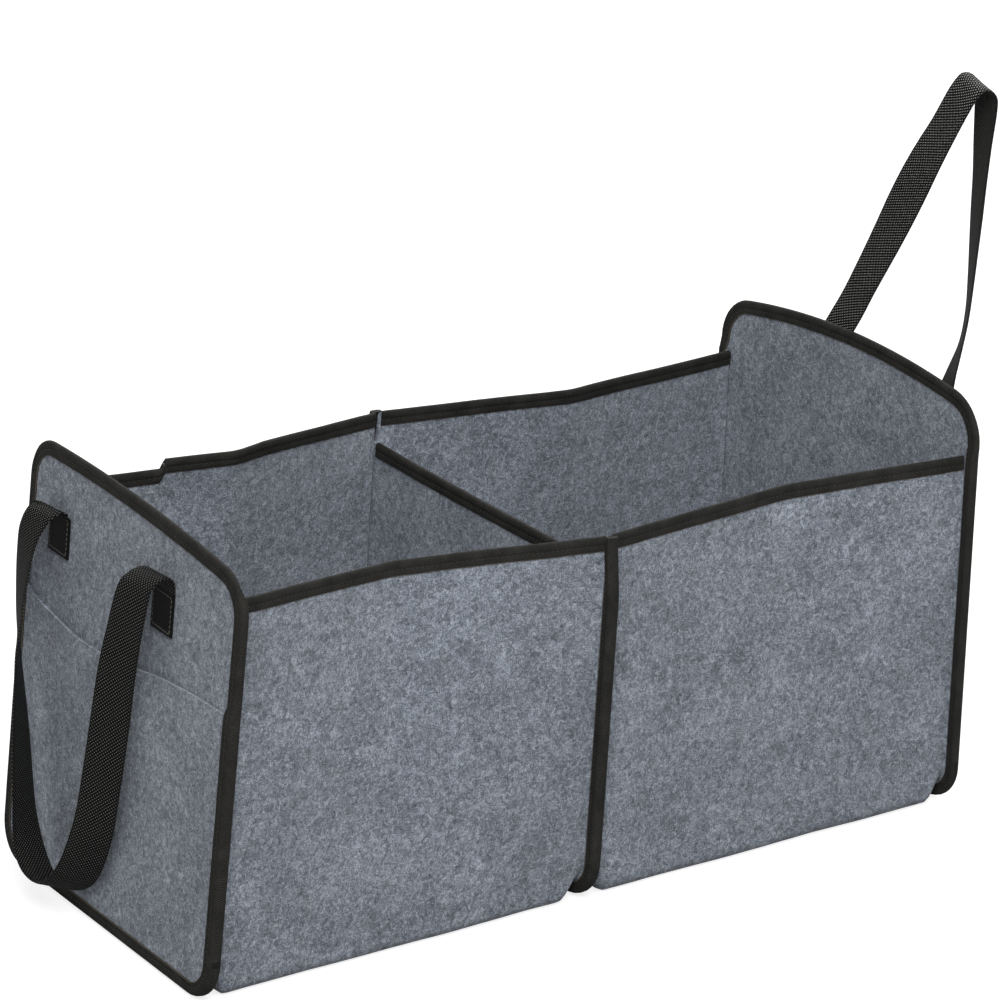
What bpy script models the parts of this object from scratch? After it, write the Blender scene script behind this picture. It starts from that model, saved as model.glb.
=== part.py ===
"""Folding felt trunk bag with two compartments and two webbing handles, opened out and standing.

X runs along the bag, Y from front to back and Z up, in metres. The origin is on the floor, under
the middle of the bag and its handles. The front walls are at -Y, and the patch pocket is on the
left end, at -X.

The bag is sewn from flat felt. At both ends and at the middle the felt edges are turned outward,
laid on each other and covered by a folded tape, so every seam stands out of the bag as a fin.
"""
import math

import bmesh
import bpy
import numpy as np

# Felt and tape
FELT = 0.0020
TAPE = 0.0007
GAP = 0.0003
FIN = 0.0095
SEAM_OFF_FLOOR = 0.0003
TAPE_ON_PANEL = 0.0080
TAPE_ON_FIN = 0.0066
TAPE_ON_TOP = 0.0082
TURN_RADIUS = 0.0020

# Body of the bag. BAG_CENTRE_X is how far its middle is from the origin, because of the handles.
BAG_CENTRE_X = 0.00353
BAG_LENGTH = 0.550
BAG_DEPTH = 0.2364
PANEL_CORNER_RADIUS = 0.0236
FLOOR_EDGE_RADIUS = 0.007
TUCK_LENGTH = 0.013

# How each seam stands once the bag is opened: its place, lean, turn and the wall height there
LEFT_END_LEAN = 0.072
LEFT_END_TURN = 0.087
LEFT_END_SKEW = 0.040
LEFT_WALL_HEIGHT = 0.2470
MIDDLE_SEAM_X = -0.0108
MIDDLE_SEAM_LEAN = 0.034
MIDDLE_SEAM_TURN = 0.008
MIDDLE_SEAM_SKEW = 0.026
MIDDLE_WALL_HEIGHT = 0.2332
RIGHT_END_LEAN = 0.002
RIGHT_END_TURN = 0.020
RIGHT_END_SKEW = -0.003
RIGHT_WALL_HEIGHT = 0.2285
SKEW_FROM_HEIGHT = 0.030
SKEW_FULL_HEIGHT = 0.100
MIDDLE_FIN_AT_TOP = 0.45

# Creases that let the walls fold inward: how far in, and the share of the front and the back
# wall at which they stand
CREASE_ROUNDING = 0.012
CREASE_IN_FRONT_LEFT = 0.019
CREASE_IN_FRONT_RIGHT = 0.015
CREASE_IN_BACK_LEFT = 0.028
CREASE_IN_BACK_RIGHT = 0.018
CREASES_AT_LEFT = (0.459, 0.490)
CREASES_AT_RIGHT = (0.533, 0.486)
STEP_FROM_SEAM = 0.072
STEP_DROP = 0.006
BACK_LEFT_FALL = 0.010
BACK_LEFT_FALL_TO = 0.60
STEP_LENGTH = 0.004
STEP_POWER = 8
STEP_CLEARANCE = 0.005
BOW_POWER = 1.3
TOP_BINDING_FROM_TURN = 0.005

# End panels
LEFT_END_ABOVE_WALL = 0.0180
LEFT_END_ARCH = 0.0050
RIGHT_END_ABOVE_WALL = 0.0462
RIGHT_END_ARCH = 0.0135

# Divider between the compartments
DIVIDER_BELOW_WALL = 0.019
DIVIDER_SAG = 0.0015

# Patch pocket on the left end
POCKET_SIDE_HEIGHT = 0.178
POCKET_MOUTH_DIP = 0.012
POCKET_MOUTH_BULGE = 0.009
POCKET_BULGE_CENTRE = 0.030
POCKET_BULGE_SPREAD = 0.060

# Webbing handles
WEBBING_WIDTH = 0.025
WEBBING = 0.0013
TAB_LOW = 0.1990
TAB_HIGH = 0.2235
TABS_FROM_MIDDLE = (0.0397, 0.0865)
POINTS_PER_SPAN = 2

# Each handle from one tab to the other: place of its middle line, and direction of its width
LEFT_HANDLE = [
    ((-0.2654, -0.0400, 0.2315), (0.00, -1.00, 0.00)),
    ((-0.2714, -0.0400, 0.2345), (0.00, -1.00, 0.00)),
    ((-0.2789, -0.0398, 0.2319), (0.10, -1.00, 0.00)),
    ((-0.2839, -0.0387, 0.2237), (0.22, -0.97, 0.00)),
    ((-0.2863, -0.0331, 0.1965), (0.30, -0.95, 0.00)),
    ((-0.2872, -0.0276, 0.1713), (0.42, -0.91, 0.00)),
    ((-0.2882, -0.0231, 0.1411), (0.50, -0.87, 0.00)),
    ((-0.2902, -0.0164, 0.0958), (0.52, -0.85, 0.00)),
    ((-0.2916, -0.0109, 0.0686), (0.60, -0.80, 0.00)),
    ((-0.2923, 0.0010, 0.0423), (0.75, -0.60, -0.27)),
    ((-0.2924, 0.0150, 0.0271), (0.88, -0.22, -0.40)),
    ((-0.2919, 0.0310, 0.0204), (0.94, 0.00, -0.34)),
    ((-0.2914, 0.0469, 0.0228), (0.94, 0.10, -0.28)),
    ((-0.2900, 0.0585, 0.0327), (0.93, 0.24, -0.14)),
    ((-0.2887, 0.0658, 0.0477), (0.90, 0.40, 0.00)),
    ((-0.2875, 0.0699, 0.0648), (0.87, 0.49, 0.00)),
    ((-0.2853, 0.0751, 0.0838), (0.84, 0.54, 0.00)),
    ((-0.2831, 0.0802, 0.1040), (0.79, 0.61, 0.00)),
    ((-0.2808, 0.0854, 0.1231), (0.71, 0.70, 0.00)),
    ((-0.2786, 0.0905, 0.1452), (0.61, 0.79, 0.00)),
    ((-0.2764, 0.0930, 0.1653), (0.45, 0.89, 0.00)),
    ((-0.2748, 0.0933, 0.1856), (0.33, 0.94, 0.00)),
    ((-0.2743, 0.0911, 0.2037), (0.24, 0.97, 0.00)),
    ((-0.2729, 0.0883, 0.2189), (0.12, 0.99, 0.00)),
    ((-0.2679, 0.0860, 0.2295), (0.00, 1.00, 0.00)),
    ((-0.2614, 0.0853, 0.2326), (0.00, 1.00, 0.00)),
    ((-0.2568, 0.0868, 0.2308), (0.00, 1.00, 0.00)),
]
RIGHT_HANDLE = [
    ((0.2794, 0.0339, 0.2423), (0.01, 0.95, 0.31)),
    ((0.2840, 0.0249, 0.2646), (0.09, 0.92, 0.39)),
    ((0.2872, 0.0146, 0.2852), (0.11, 0.89, 0.45)),
    ((0.2872, 0.0038, 0.3046), (0.10, 0.87, 0.49)),
    ((0.2867, -0.0074, 0.3237), (0.04, 0.86, 0.51)),
    ((0.2857, -0.0188, 0.3426), (-0.04, 0.85, 0.52)),
    ((0.2841, -0.0304, 0.3614), (-0.11, 0.85, 0.52)),
    ((0.2825, -0.0421, 0.3801), (-0.10, 0.84, 0.53)),
    ((0.2811, -0.0540, 0.3987), (0.00, 0.84, 0.53)),
    ((0.2805, -0.0660, 0.4174), (0.12, 0.84, 0.52)),
    ((0.2800, -0.0774, 0.4362), (0.15, 0.86, 0.49)),
    ((0.2806, -0.0826, 0.4453), (0.17, 0.88, 0.45)),
    ((0.2829, -0.0868, 0.4530), (0.24, 0.90, 0.37)),
    ((0.2883, -0.0890, 0.4549), (0.30, 0.94, 0.16)),
    ((0.2935, -0.0900, 0.4491), (0.19, 0.98, 0.01)),
    ((0.2941, -0.0903, 0.4393), (0.16, 0.99, -0.03)),
    ((0.2924, -0.0911, 0.4177), (0.27, 0.96, -0.06)),
    ((0.2909, -0.0921, 0.3958), (0.37, 0.93, -0.06)),
    ((0.2895, -0.0928, 0.3738), (0.42, 0.90, -0.04)),
    ((0.2886, -0.0930, 0.3520), (0.49, 0.87, -0.01)),
    ((0.2882, -0.0928, 0.3301), (0.56, 0.83, 0.01)),
    ((0.2878, -0.0918, 0.3083), (0.62, 0.78, 0.03)),
    ((0.2866, -0.0889, 0.2869), (0.64, 0.77, 0.03)),
    ((0.2836, -0.0848, 0.2662), (0.50, 0.86, 0.04)),
    ((0.2798, -0.0825, 0.2452), (0.27, 0.96, 0.03)),
]

# Facets
CORNER_FACETS = 5
TAPER_ROW = 0.20
POCKET_ROWS = [0.0, 0.3, 0.55, 0.75, 0.9, 1.0]
DIVIDER_ROWS = [0.0, 0.5, 0.85, 1.0]

HALF_DEPTH = (BAG_DEPTH - FELT) / 2
LAYER = FELT + GAP
CHANNEL = FELT / 2 + GAP
SEAM_FLOOR = FIN + GAP + TAPE + SEAM_OFF_FLOOR
FLOOR_LEVEL = FELT / 2
PANEL_HALF = HALF_DEPTH + FIN
SEAM_CORNER_RADIUS = PANEL_CORNER_RADIUS - FIN

FELT_GREY = (0.235, 0.262, 0.300, 1.0)
TAPE_BLACK = (0.020, 0.020, 0.020, 1.0)
WEBBING_BLACK = (0.014, 0.014, 0.015, 1.0)


class Seam:
    """Slanted plane of a seam.

    floor_x is where it meets the floor. lean and turn are how far it moves in X for each metre up
    and back, and skew is how far it rises for each metre back. top is the felt's height there. An
    end panel in it stands above_wall higher, less arch at its sides.
    """

    def __init__(self, floor_x, lean, turn, skew, wall_height, above_wall=0.0, arch=0.0):
        self.floor_x = floor_x
        self.lean = lean
        self.turn = turn
        self.skew = skew
        self.top = wall_height - GAP - TAPE
        self.peak = self.top + above_wall
        self.arch = arch

    def x(self, y, z):
        return self.floor_x + self.lean * z + self.turn * y

    def rise(self, y, z):
        share = (z - SKEW_FROM_HEIGHT) / (SKEW_FULL_HEIGHT - SKEW_FROM_HEIGHT)
        return self.skew * y * min(max(share, 0.0), 1.0)

    def point(self, y, z, layer=0.0):
        z += self.rise(y, z)
        return self.x(y, z) + layer, y, z

    def normal(self):
        normal = np.array([1.0, -self.turn, -self.lean])
        return normal / np.linalg.norm(normal)

    def fin(self, z):
        """How far the wall felt stands out of the bag at a height: up to the end panel's edge."""
        half = [y for y in panel_columns() if y >= 0.0][::-1]
        return np.interp(z + GAP, [self.end_top(y) for y in half], half) - HALF_DEPTH

    def end_top(self, y):
        """Upper edge of the end panel at a Y: a shallow arch with rounded corners."""
        into_corner = max(abs(y) - (PANEL_HALF - PANEL_CORNER_RADIUS), 0.0)
        fall = PANEL_CORNER_RADIUS - math.sqrt(max(PANEL_CORNER_RADIUS ** 2 - into_corner ** 2, 0.0))
        return self.peak - self.arch * (y / PANEL_HALF) ** 2 - fall

    def panel_y(self, y, z):
        return y


class MiddleSeam(Seam):
    """The seam with the divider, whose fin grows from a low start at the top of the walls."""

    def fin(self, z):
        taper = TAPER_ROW * (self.top - SEAM_FLOOR - SEAM_CORNER_RADIUS)
        grown = min(max((self.top - z) / taper, 0.0), 1.0)
        return FIN * (MIDDLE_FIN_AT_TOP + (1.0 - MIDDLE_FIN_AT_TOP) * grown)

    def panel_y(self, y, z):
        """Y of a point of the divider, moved in where it lies in the low part of the fin."""
        in_fin = max(abs(y) - HALF_DEPTH, 0.0)
        return math.copysign(abs(y) - in_fin * (1.0 - self.fin(z) / FIN), y)


LEFT_SEAM = Seam(-BAG_LENGTH / 2 + FELT / 2, LEFT_END_LEAN, LEFT_END_TURN, LEFT_END_SKEW,
                 LEFT_WALL_HEIGHT, LEFT_END_ABOVE_WALL, LEFT_END_ARCH)
MIDDLE_SEAM = MiddleSeam(MIDDLE_SEAM_X, MIDDLE_SEAM_LEAN, MIDDLE_SEAM_TURN, MIDDLE_SEAM_SKEW,
                         MIDDLE_WALL_HEIGHT)
RIGHT_SEAM = Seam(BAG_LENGTH / 2 - FELT / 2, RIGHT_END_LEAN, RIGHT_END_TURN, RIGHT_END_SKEW,
                  RIGHT_WALL_HEIGHT, RIGHT_END_ABOVE_WALL, RIGHT_END_ARCH)


def smooth_step(value):
    """0 up to 0, 1 from 1 on, and an even S between."""
    value = min(max(value, 0.0), 1.0)
    return value * value * (3.0 - 2.0 * value)


def make_material(name, colour, roughness):
    material = bpy.data.materials.new(name)
    material.use_nodes = True
    shader = material.node_tree.nodes["Principled BSDF"]
    shader.inputs["Base Color"].default_value = colour
    shader.inputs["Roughness"].default_value = roughness
    shader.inputs["Metallic"].default_value = 0.0
    material.diffuse_color = colour
    return material


def add_solid(name, points, faces, colour, roughness):
    """One object from points and faces, with its own material and its faces turned outward."""
    mesh = bpy.data.meshes.new(name)
    points = np.array(points, dtype=float) + (BAG_CENTRE_X, 0.0, 0.0)
    mesh.from_pydata(points.tolist(), [], faces)
    shell = bmesh.new()
    shell.from_mesh(mesh)
    bmesh.ops.recalc_face_normals(shell, faces=shell.faces)
    shell.to_mesh(mesh)
    shell.free()
    solid = bpy.data.objects.new(name, mesh)
    bpy.context.scene.collection.objects.link(solid)
    mesh.materials.append(make_material(name + "_material", colour, roughness))
    for face in mesh.polygons:
        face.use_smooth = True
    mesh.set_sharp_from_angle(angle=math.radians(35))
    return solid


def run_directions(points):
    """Unit direction at each point of a run, and how much a mitre there lengthens an offset."""
    steps = np.diff(points, axis=0)
    steps /= np.linalg.norm(steps, axis=1, keepdims=True)
    before = np.vstack([steps[:1], steps])
    after = np.vstack([steps, steps[-1:]])
    mean = before + after
    mean /= np.linalg.norm(mean, axis=1, keepdims=True)
    return mean, 1.0 / np.sum(mean * after, axis=1)


def sheet(name, middle, thickness, colour, roughness):
    """Closed sheet of even thickness around a grid of points on its middle surface."""
    rows, columns = middle.shape[:2]
    flat = np.cross(middle[1:, 1:] - middle[:-1, :-1], middle[1:, :-1] - middle[:-1, 1:])
    flat /= np.linalg.norm(flat, axis=2, keepdims=True)
    normal = np.zeros_like(middle)
    corners = [(slice(0, -1), slice(0, -1)), (slice(1, None), slice(0, -1)),
               (slice(0, -1), slice(1, None)), (slice(1, None), slice(1, None))]
    for corner in corners:
        normal[corner] += flat
    normal /= np.linalg.norm(normal, axis=2, keepdims=True)
    lean = np.zeros((rows, columns))
    meeting = np.zeros((rows, columns))
    for corner in corners:
        lean[corner] += np.sum(normal[corner] * flat, axis=2)
        meeting[corner] += 1.0
    offset = normal * (thickness / 2 * meeting / lean)[:, :, None]
    points = np.vstack([(middle + offset).reshape(-1, 3), (middle - offset).reshape(-1, 3)])

    far_side = rows * columns
    faces = []
    for row in range(rows - 1):
        for column in range(columns - 1):
            a = row * columns + column
            quad = (a, a + 1, a + columns + 1, a + columns)
            faces.append(quad)
            faces.append(tuple(corner + far_side for corner in reversed(quad)))
    rim = [column for column in range(columns)]
    rim += [row * columns + columns - 1 for row in range(1, rows)]
    rim += [(rows - 1) * columns + column for column in reversed(range(columns - 1))]
    rim += [row * columns for row in reversed(range(1, rows - 1))]
    for a, b in zip(rim, rim[1:] + rim[:1]):
        faces.append((b, a, a + far_side, b + far_side))
    return add_solid(name, points, faces, colour, roughness)


def sweep(name, rings, closed, colour, roughness):
    """Solid through like rings. A ring is two equal runs of points: its outer and its inner side."""
    width = len(rings[0][0])
    around = 2 * width
    points = np.vstack([np.vstack([outer, inner[::-1]]) for outer, inner in rings])
    faces = []
    pairs = list(zip(range(len(rings) - 1), range(1, len(rings))))
    if closed:
        pairs.append((len(rings) - 1, 0))
    for first, second in pairs:
        for corner in range(around):
            following = (corner + 1) % around
            a, b = first * around + corner, first * around + following
            c, d = second * around + following, second * around + corner
            faces.append((a, b, c, d))
    if not closed:
        last = (len(rings) - 1) * around
        for corner in range(width - 1):
            cap = (corner, corner + 1, around - 2 - corner, around - 1 - corner)
            faces.append(tuple(reversed(cap)))
            faces.append(tuple(last + c for c in cap))
    return add_solid(name, points, faces, colour, roughness)


def tape_ring(edge, across, outward, low, high, low_leg, high_leg):
    """Section of the tape folded over a felt edge.

    low and high are the sides of the channel that holds the felt, measured along across from edge.
    """
    profile_outer = [(low - TAPE, -low_leg), (low - TAPE, GAP), (low, GAP + TAPE),
                     (high, GAP + TAPE), (high + TAPE, GAP), (high + TAPE, -high_leg)]
    profile_inner = [(low, -low_leg), (low, 0.0), (low + GAP, GAP),
                     (high - GAP, GAP), (high, 0.0), (high, -high_leg)]
    outer = np.array([edge + across * a + outward * b for a, b in profile_outer])
    inner = np.array([edge + across * a + outward * b for a, b in profile_inner])
    return outer, inner


def corner_angles():
    return [k * math.pi / 2 / CORNER_FACETS for k in range(CORNER_FACETS + 1)]


def u_rows():
    """Rows from the top of the front wall, down, under the floor and up the back wall.

    A row is a stretch of that path and the share of the stretch that lies behind it.
    """
    wall = [0.0, 0.05, TAPER_ROW, 0.45, 0.72, 0.90]
    floor = [0.0, 0.15, 0.38, 0.62, 0.85]
    bends = [k / CORNER_FACETS for k in range(CORNER_FACETS)]
    rows = [("front", f) for f in wall]
    rows += [("front_corner", f) for f in bends]
    rows += [("floor", f) for f in floor]
    rows += [("back_corner", f) for f in bends]
    rows += [("back", 1.0 - f) for f in reversed(wall)]
    rows.insert(len(rows) - len(wall), ("back", 0.0))
    return rows


def u_point(row, half, bottom, radius, top):
    """Y and Z of a row on a U of this half width, bottom height, corner radius and top height."""
    stretch, share = row
    angle = share * math.pi / 2
    if stretch == "front":
        return -half, top + (bottom + radius - top) * share
    if stretch == "front_corner":
        return -half + radius * (1 - math.cos(angle)), bottom + radius * (1 - math.sin(angle))
    if stretch == "floor":
        return (half - radius) * (2 * share - 1), bottom
    if stretch == "back_corner":
        return half - radius * (1 - math.sin(angle)), bottom + radius * (1 - math.cos(angle))
    return half, bottom + radius + (top - bottom - radius) * share


def seam_u(row, seam, outset):
    """Y and Z of a row on a seam, moved out of the bag by outset."""
    return u_point(row, HALF_DEPTH + outset, SEAM_FLOOR - outset, SEAM_CORNER_RADIUS + outset, seam.top)


def fin_tip(row, seam):
    """Y and Z of a row at the outer edge of the seam's fin."""
    height = seam_u(row, seam, FIN)[1]
    y, z = seam_u(row, seam, seam.fin(height))
    return y, z


def crease_share(share, length):
    """How much of the crease's inward bow a point has: 1 at the middle of the wall, 0 at its seams."""
    from_crease = abs(share - 0.5) * length
    rounding = CREASE_ROUNDING / 2
    if from_crease < rounding:
        from_crease = (from_crease * from_crease + rounding * rounding) / (2 * rounding)
    return 1.0 - from_crease / (length / 2)


def body_point(row, share, half):
    """Point of one half of the felt body, share of the way from its left seam to its right one."""
    left, right, front_bow, back_bow, (front_crease, back_crease), has_step = half
    length = right.floor_x - left.floor_x
    from_seam = min(share, 1.0 - share) * length
    belly = smooth_step(from_seam / TUCK_LENGTH)
    top = left.top + (right.top - left.top) * share
    near = seam_u(row, left, 0.0) if share < 0.5 else seam_u(row, right, 0.0)
    free = u_point(row, HALF_DEPTH, FLOOR_LEVEL, FLOOR_EDGE_RADIUS, top)
    y = near[0] + (free[0] - near[0]) * belly
    z = near[1] + (free[1] - near[1]) * belly
    bow = (z / top) ** BOW_POWER * crease_share(share, length)
    z += left.rise(y, z) * (1.0 - share) + right.rise(y, z) * share
    low = left.x(y, z) + LAYER + TURN_RADIUS
    high = right.x(y, z) - LAYER - TURN_RADIUS
    behind = min(max(0.5 + y / (2 * HALF_DEPTH), 0.0), 1.0)
    crease = front_crease + (back_crease - front_crease) * behind
    x = low + (high - low) * (share + (crease - 0.5) * (1.0 - abs(2.0 * share - 1.0)))
    if row[0] == "back" and has_step:
        before, after = step_shares()
        below = min(max((after - share) / (after - before), 0.0), 1.0)
        fall = BACK_LEFT_FALL * max(1.0 - share / BACK_LEFT_FALL_TO, 0.0)
        z -= (STEP_DROP * below + fall) * row[1] ** STEP_POWER
    if row[0].startswith("front"):
        y += front_bow * bow
    if row[0].startswith("back"):
        y -= back_bow * bow
    return x, y, z


def step_shares():
    """The two shares of the back left wall between which its top edge steps up."""
    middle_x = MIDDLE_SEAM.x(HALF_DEPTH, MIDDLE_SEAM.top)
    top_length = middle_x - LEFT_SEAM.x(HALF_DEPTH, LEFT_SEAM.top) - 2 * (LAYER + TURN_RADIUS)
    return [(STEP_FROM_SEAM + side * STEP_LENGTH / 2) / top_length for side in (-1, 1)]


def body_shares(has_step):
    """Columns of the felt body between its seams, closer together at the tucks and the crease."""
    shares = [0.0, 0.015, 0.033, 0.052, 0.15]
    if has_step:
        shares += step_shares()
    else:
        shares += [0.32]
    shares += [0.475, 0.50, 0.525, 0.68, 0.85, 0.948, 0.967, 0.985, 1.0]
    return shares


def felt_body(name, half):
    """Front wall, floor and back wall in one piece of felt, with both edges turned out into the seams."""
    left, right, has_step = half[0], half[1], half[-1]
    eighth = TURN_RADIUS * (1 - math.sqrt(0.5))
    turn = [(0.0, TURN_RADIUS), (eighth, eighth)]
    grid = []
    for row in u_rows():
        line = [left.point(*fin_tip(row, left), LAYER)]
        line += [left.point(*seam_u(row, left, outset), LAYER + inset) for inset, outset in turn]
        line += [body_point(row, share, half) for share in body_shares(has_step)]
        line += [right.point(*seam_u(row, right, outset), -LAYER - inset)
                 for inset, outset in reversed(turn)]
        line.append(right.point(*fin_tip(row, right), -LAYER))
        grid.append(line)
    return sheet(name, np.array(grid), FELT, FELT_GREY, 0.95)


def panel_columns():
    """Y of the columns of a panel that is sewn in along its sides and bottom."""
    half = [0.0, PANEL_HALF * 0.24, PANEL_HALF * 0.48]
    half += [PANEL_HALF - PANEL_CORNER_RADIUS * (1 - math.sin(a)) for a in corner_angles()]
    return [-y for y in reversed(half[1:])] + half


def panel_bottom(y):
    """Lower edge of a sewn-in panel at a Y: straight, with the rounded corners of the seam."""
    into_corner = max(abs(y) - (PANEL_HALF - PANEL_CORNER_RADIUS), 0.0)
    rise = PANEL_CORNER_RADIUS - math.sqrt(max(PANEL_CORNER_RADIUS ** 2 - into_corner ** 2, 0.0))
    return SEAM_FLOOR - FIN + rise


def divider_top(y):
    return MIDDLE_SEAM.top - DIVIDER_BELOW_WALL - DIVIDER_SAG * (1 - (y / PANEL_HALF) ** 2)


def pocket_top(y):
    return POCKET_SIDE_HEIGHT - POCKET_MOUTH_DIP * (1 - (y / PANEL_HALF) ** 2)


def panel_grid(seam, layer, top, shares, bulge=None):
    """Grid of a panel in a seam's plane, between the seam's bottom edge and a top edge."""
    grid = []
    for share in shares:
        line = []
        for y in panel_columns():
            z = panel_bottom(y) + (top(y) - panel_bottom(y)) * share
            out = bulge(y, share) if bulge else 0.0
            line.append(seam.point(seam.panel_y(y, z), z, layer - out))
        grid.append(line)
    return np.array(grid)


def pocket_bulge(y, share):
    """How far the pocket stands off the panel: most at its mouth, and nothing at its sewn edges."""
    edge = (PANEL_HALF - TAPE_ON_PANEL - abs(y)) / (PANEL_HALF / 2)
    around = math.exp(-((y - POCKET_BULGE_CENTRE) / POCKET_BULGE_SPREAD) ** 2)
    return POCKET_MOUTH_BULGE * share ** 3 * smooth_step(edge) * around


def end_shares(seam):
    """Rows of an end panel, with close ones above the wall's top and the pocket's mouth."""
    low, high = panel_bottom(PANEL_HALF), seam.end_top(PANEL_HALF)
    marks = [POCKET_SIDE_HEIGHT + FELT / 2, POCKET_SIDE_HEIGHT + 3 * FELT, seam.top + FELT / 2]
    return [0.0, 0.25, 0.5] + [(z - low) / (high - low) for z in marks if z < high] + [1.0]


def outline(grid):
    """The outer edge of a grid as one closed run of points."""
    return np.vstack([grid[0], grid[1:, -1], grid[-1, -2::-1], grid[-2:0:-1, 0]])


def end_binding(name, seam, grid, inward, has_pocket):
    """Tape all the way round an end panel, wider where it also holds the wall felt or the pocket."""
    edge = outline(grid)
    normal = seam.normal()
    rings = []
    for k, point in enumerate(edge):
        before = point - edge[k - 1]
        after = edge[(k + 1) % len(edge)] - point
        before /= np.linalg.norm(before)
        after /= np.linalg.norm(after)
        along = (before + after) / np.linalg.norm(before + after)
        outward = np.cross(along, normal) / np.dot(along, after)
        reach = [edge[k - 1], point, edge[(k + 1) % len(edge)]]
        lowest = min(z - seam.rise(y, z) for _, y, z in reach)
        holds_wall = lowest <= seam.top + 2 * GAP
        holds_pocket = has_pocket and lowest <= POCKET_SIDE_HEIGHT + 2 * GAP
        low = -CHANNEL - (LAYER if holds_pocket else 0.0)
        high = CHANNEL + (LAYER if holds_wall else 0.0)
        short = FIN - seam.fin(point[2] - seam.rise(point[1], point[2]))
        inner_leg = TAPE_ON_FIN - short if holds_wall else TAPE_ON_PANEL
        rings.append(tape_ring(point, normal * inward, outward, low, high, TAPE_ON_PANEL, inner_leg))
    return sweep(name, rings, True, TAPE_BLACK, 0.8)


def middle_binding():
    """Tape down the middle of the front, under the bag and up the back, over three layers of felt."""
    tips = [fin_tip(row, MIDDLE_SEAM) for row in u_rows()]
    run = np.array([MIDDLE_SEAM.point(y, z) for y, z in tips])
    along, mitre = run_directions(run)
    across = MIDDLE_SEAM.normal()
    half_channel = CHANNEL + LAYER
    rings = []
    for (_, z), point, direction, longer in zip(tips, run, along, mitre):
        outward = np.cross(direction, across) * longer
        leg = TAPE_ON_FIN - (FIN - MIDDLE_SEAM.fin(z))
        rings.append(tape_ring(point, across, outward, -half_channel, half_channel, leg, leg))
    return sweep("middle_seam_binding", rings, False, TAPE_BLACK, 0.8)


def top_binding(name, edge, below):
    """Tape over the top edge of a wall or of the divider.

    edge is a run of points on that edge, and below holds the felt's point under each of them.
    """
    along, mitre = run_directions(edge)
    rings = []
    for point, foot, direction, longer in zip(edge, below, along, mitre):
        up = (point - foot) / np.linalg.norm(point - foot)
        across = np.cross(direction, up)
        across *= longer / np.linalg.norm(across)
        rings.append(tape_ring(point, across, up, -CHANNEL, CHANNEL, TAPE_ON_TOP, TAPE_ON_TOP))
    return sweep(name, rings, False, TAPE_BLACK, 0.8)


def wall_binding(name, side, low, high, half):
    """Tape over the top edge of one wall of a half, from share low to share high of its length."""
    top, below = (0.0, 0.05) if side == "front" else (1.0, 0.95)
    shares = [low] + [s for s in body_shares(half[-1]) if low < s < high] + [high]
    edge = np.array([body_point((side, top), s, half) for s in shares])
    feet = np.array([body_point((side, below), s, half) for s in shares])
    return top_binding(name, edge, feet)


def divider_binding():
    """Tape over the divider's top edge, between the front and the back wall."""
    limit = HALF_DEPTH - FELT / 2 - 2 * GAP
    columns = [-limit] + [y for y in panel_columns() if abs(y) < limit - TURN_RADIUS] + [limit]
    edge = np.array([MIDDLE_SEAM.point(y, divider_top(y)) for y in columns])
    feet = np.array([MIDDLE_SEAM.point(y, divider_top(y) - TAPE_ON_TOP) for y in columns])
    return top_binding("divider_top_binding", edge, feet)


def smooth_run(points):
    """Points along a smooth curve through the given points."""
    points = np.array(points, dtype=float)
    ends = np.vstack([2 * points[0] - points[1], points, 2 * points[-1] - points[-2]])
    run = []
    for k in range(len(points) - 1):
        a, b, c, d = ends[k:k + 4]
        for step in range(POINTS_PER_SPAN):
            t = step / POINTS_PER_SPAN
            run.append(0.5 * (2 * b + (c - a) * t + (2 * a - 5 * b + 4 * c - d) * t * t
                              + (3 * b - a - 3 * c + d) * t ** 3))
    run.append(points[-1])
    return np.array(run)


def handle(name, seam, side, loop):
    """Webbing sewn flat on the outer face of an end panel at both its ends."""
    off_panel = side * (FELT / 2 + GAP + WEBBING / 2)
    near, far = TABS_FROM_MIDDLE
    flat = np.subtract(seam.point(1.0, TAB_HIGH), seam.point(0.0, TAB_HIGH))
    at_first, at_last = [flat * math.copysign(1.0, width[1]) for _, width in (loop[0], loop[-1])]
    first = [(seam.point(side * near, z, off_panel), at_first) for z in (TAB_LOW, TAB_HIGH)]
    last = [(seam.point(-side * far, z, off_panel), at_last) for z in (TAB_HIGH, TAB_LOW)]
    free = [first[1]] + loop + [last[0]]
    run = np.vstack([first[0][0], smooth_run([place for place, width in free]), last[1][0]])
    widths = np.vstack([first[0][1], smooth_run([width for place, width in free]), last[1][1]])
    along, mitre = run_directions(run)
    rings = []
    for point, direction, width in zip(run, along, widths):
        width = width - direction * np.dot(width, direction)
        width *= WEBBING_WIDTH / 2 / np.linalg.norm(width)
        face = np.cross(direction, width)
        face *= WEBBING / 2 / np.linalg.norm(face)
        rings.append((np.array([point + face - width, point + face + width]),
                      np.array([point - face - width, point - face + width])))
    return sweep(name, rings, False, WEBBING_BLACK, 0.6)


def clear_scene():
    for thing in list(bpy.data.objects):
        bpy.data.objects.remove(thing, do_unlink=True)


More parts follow.
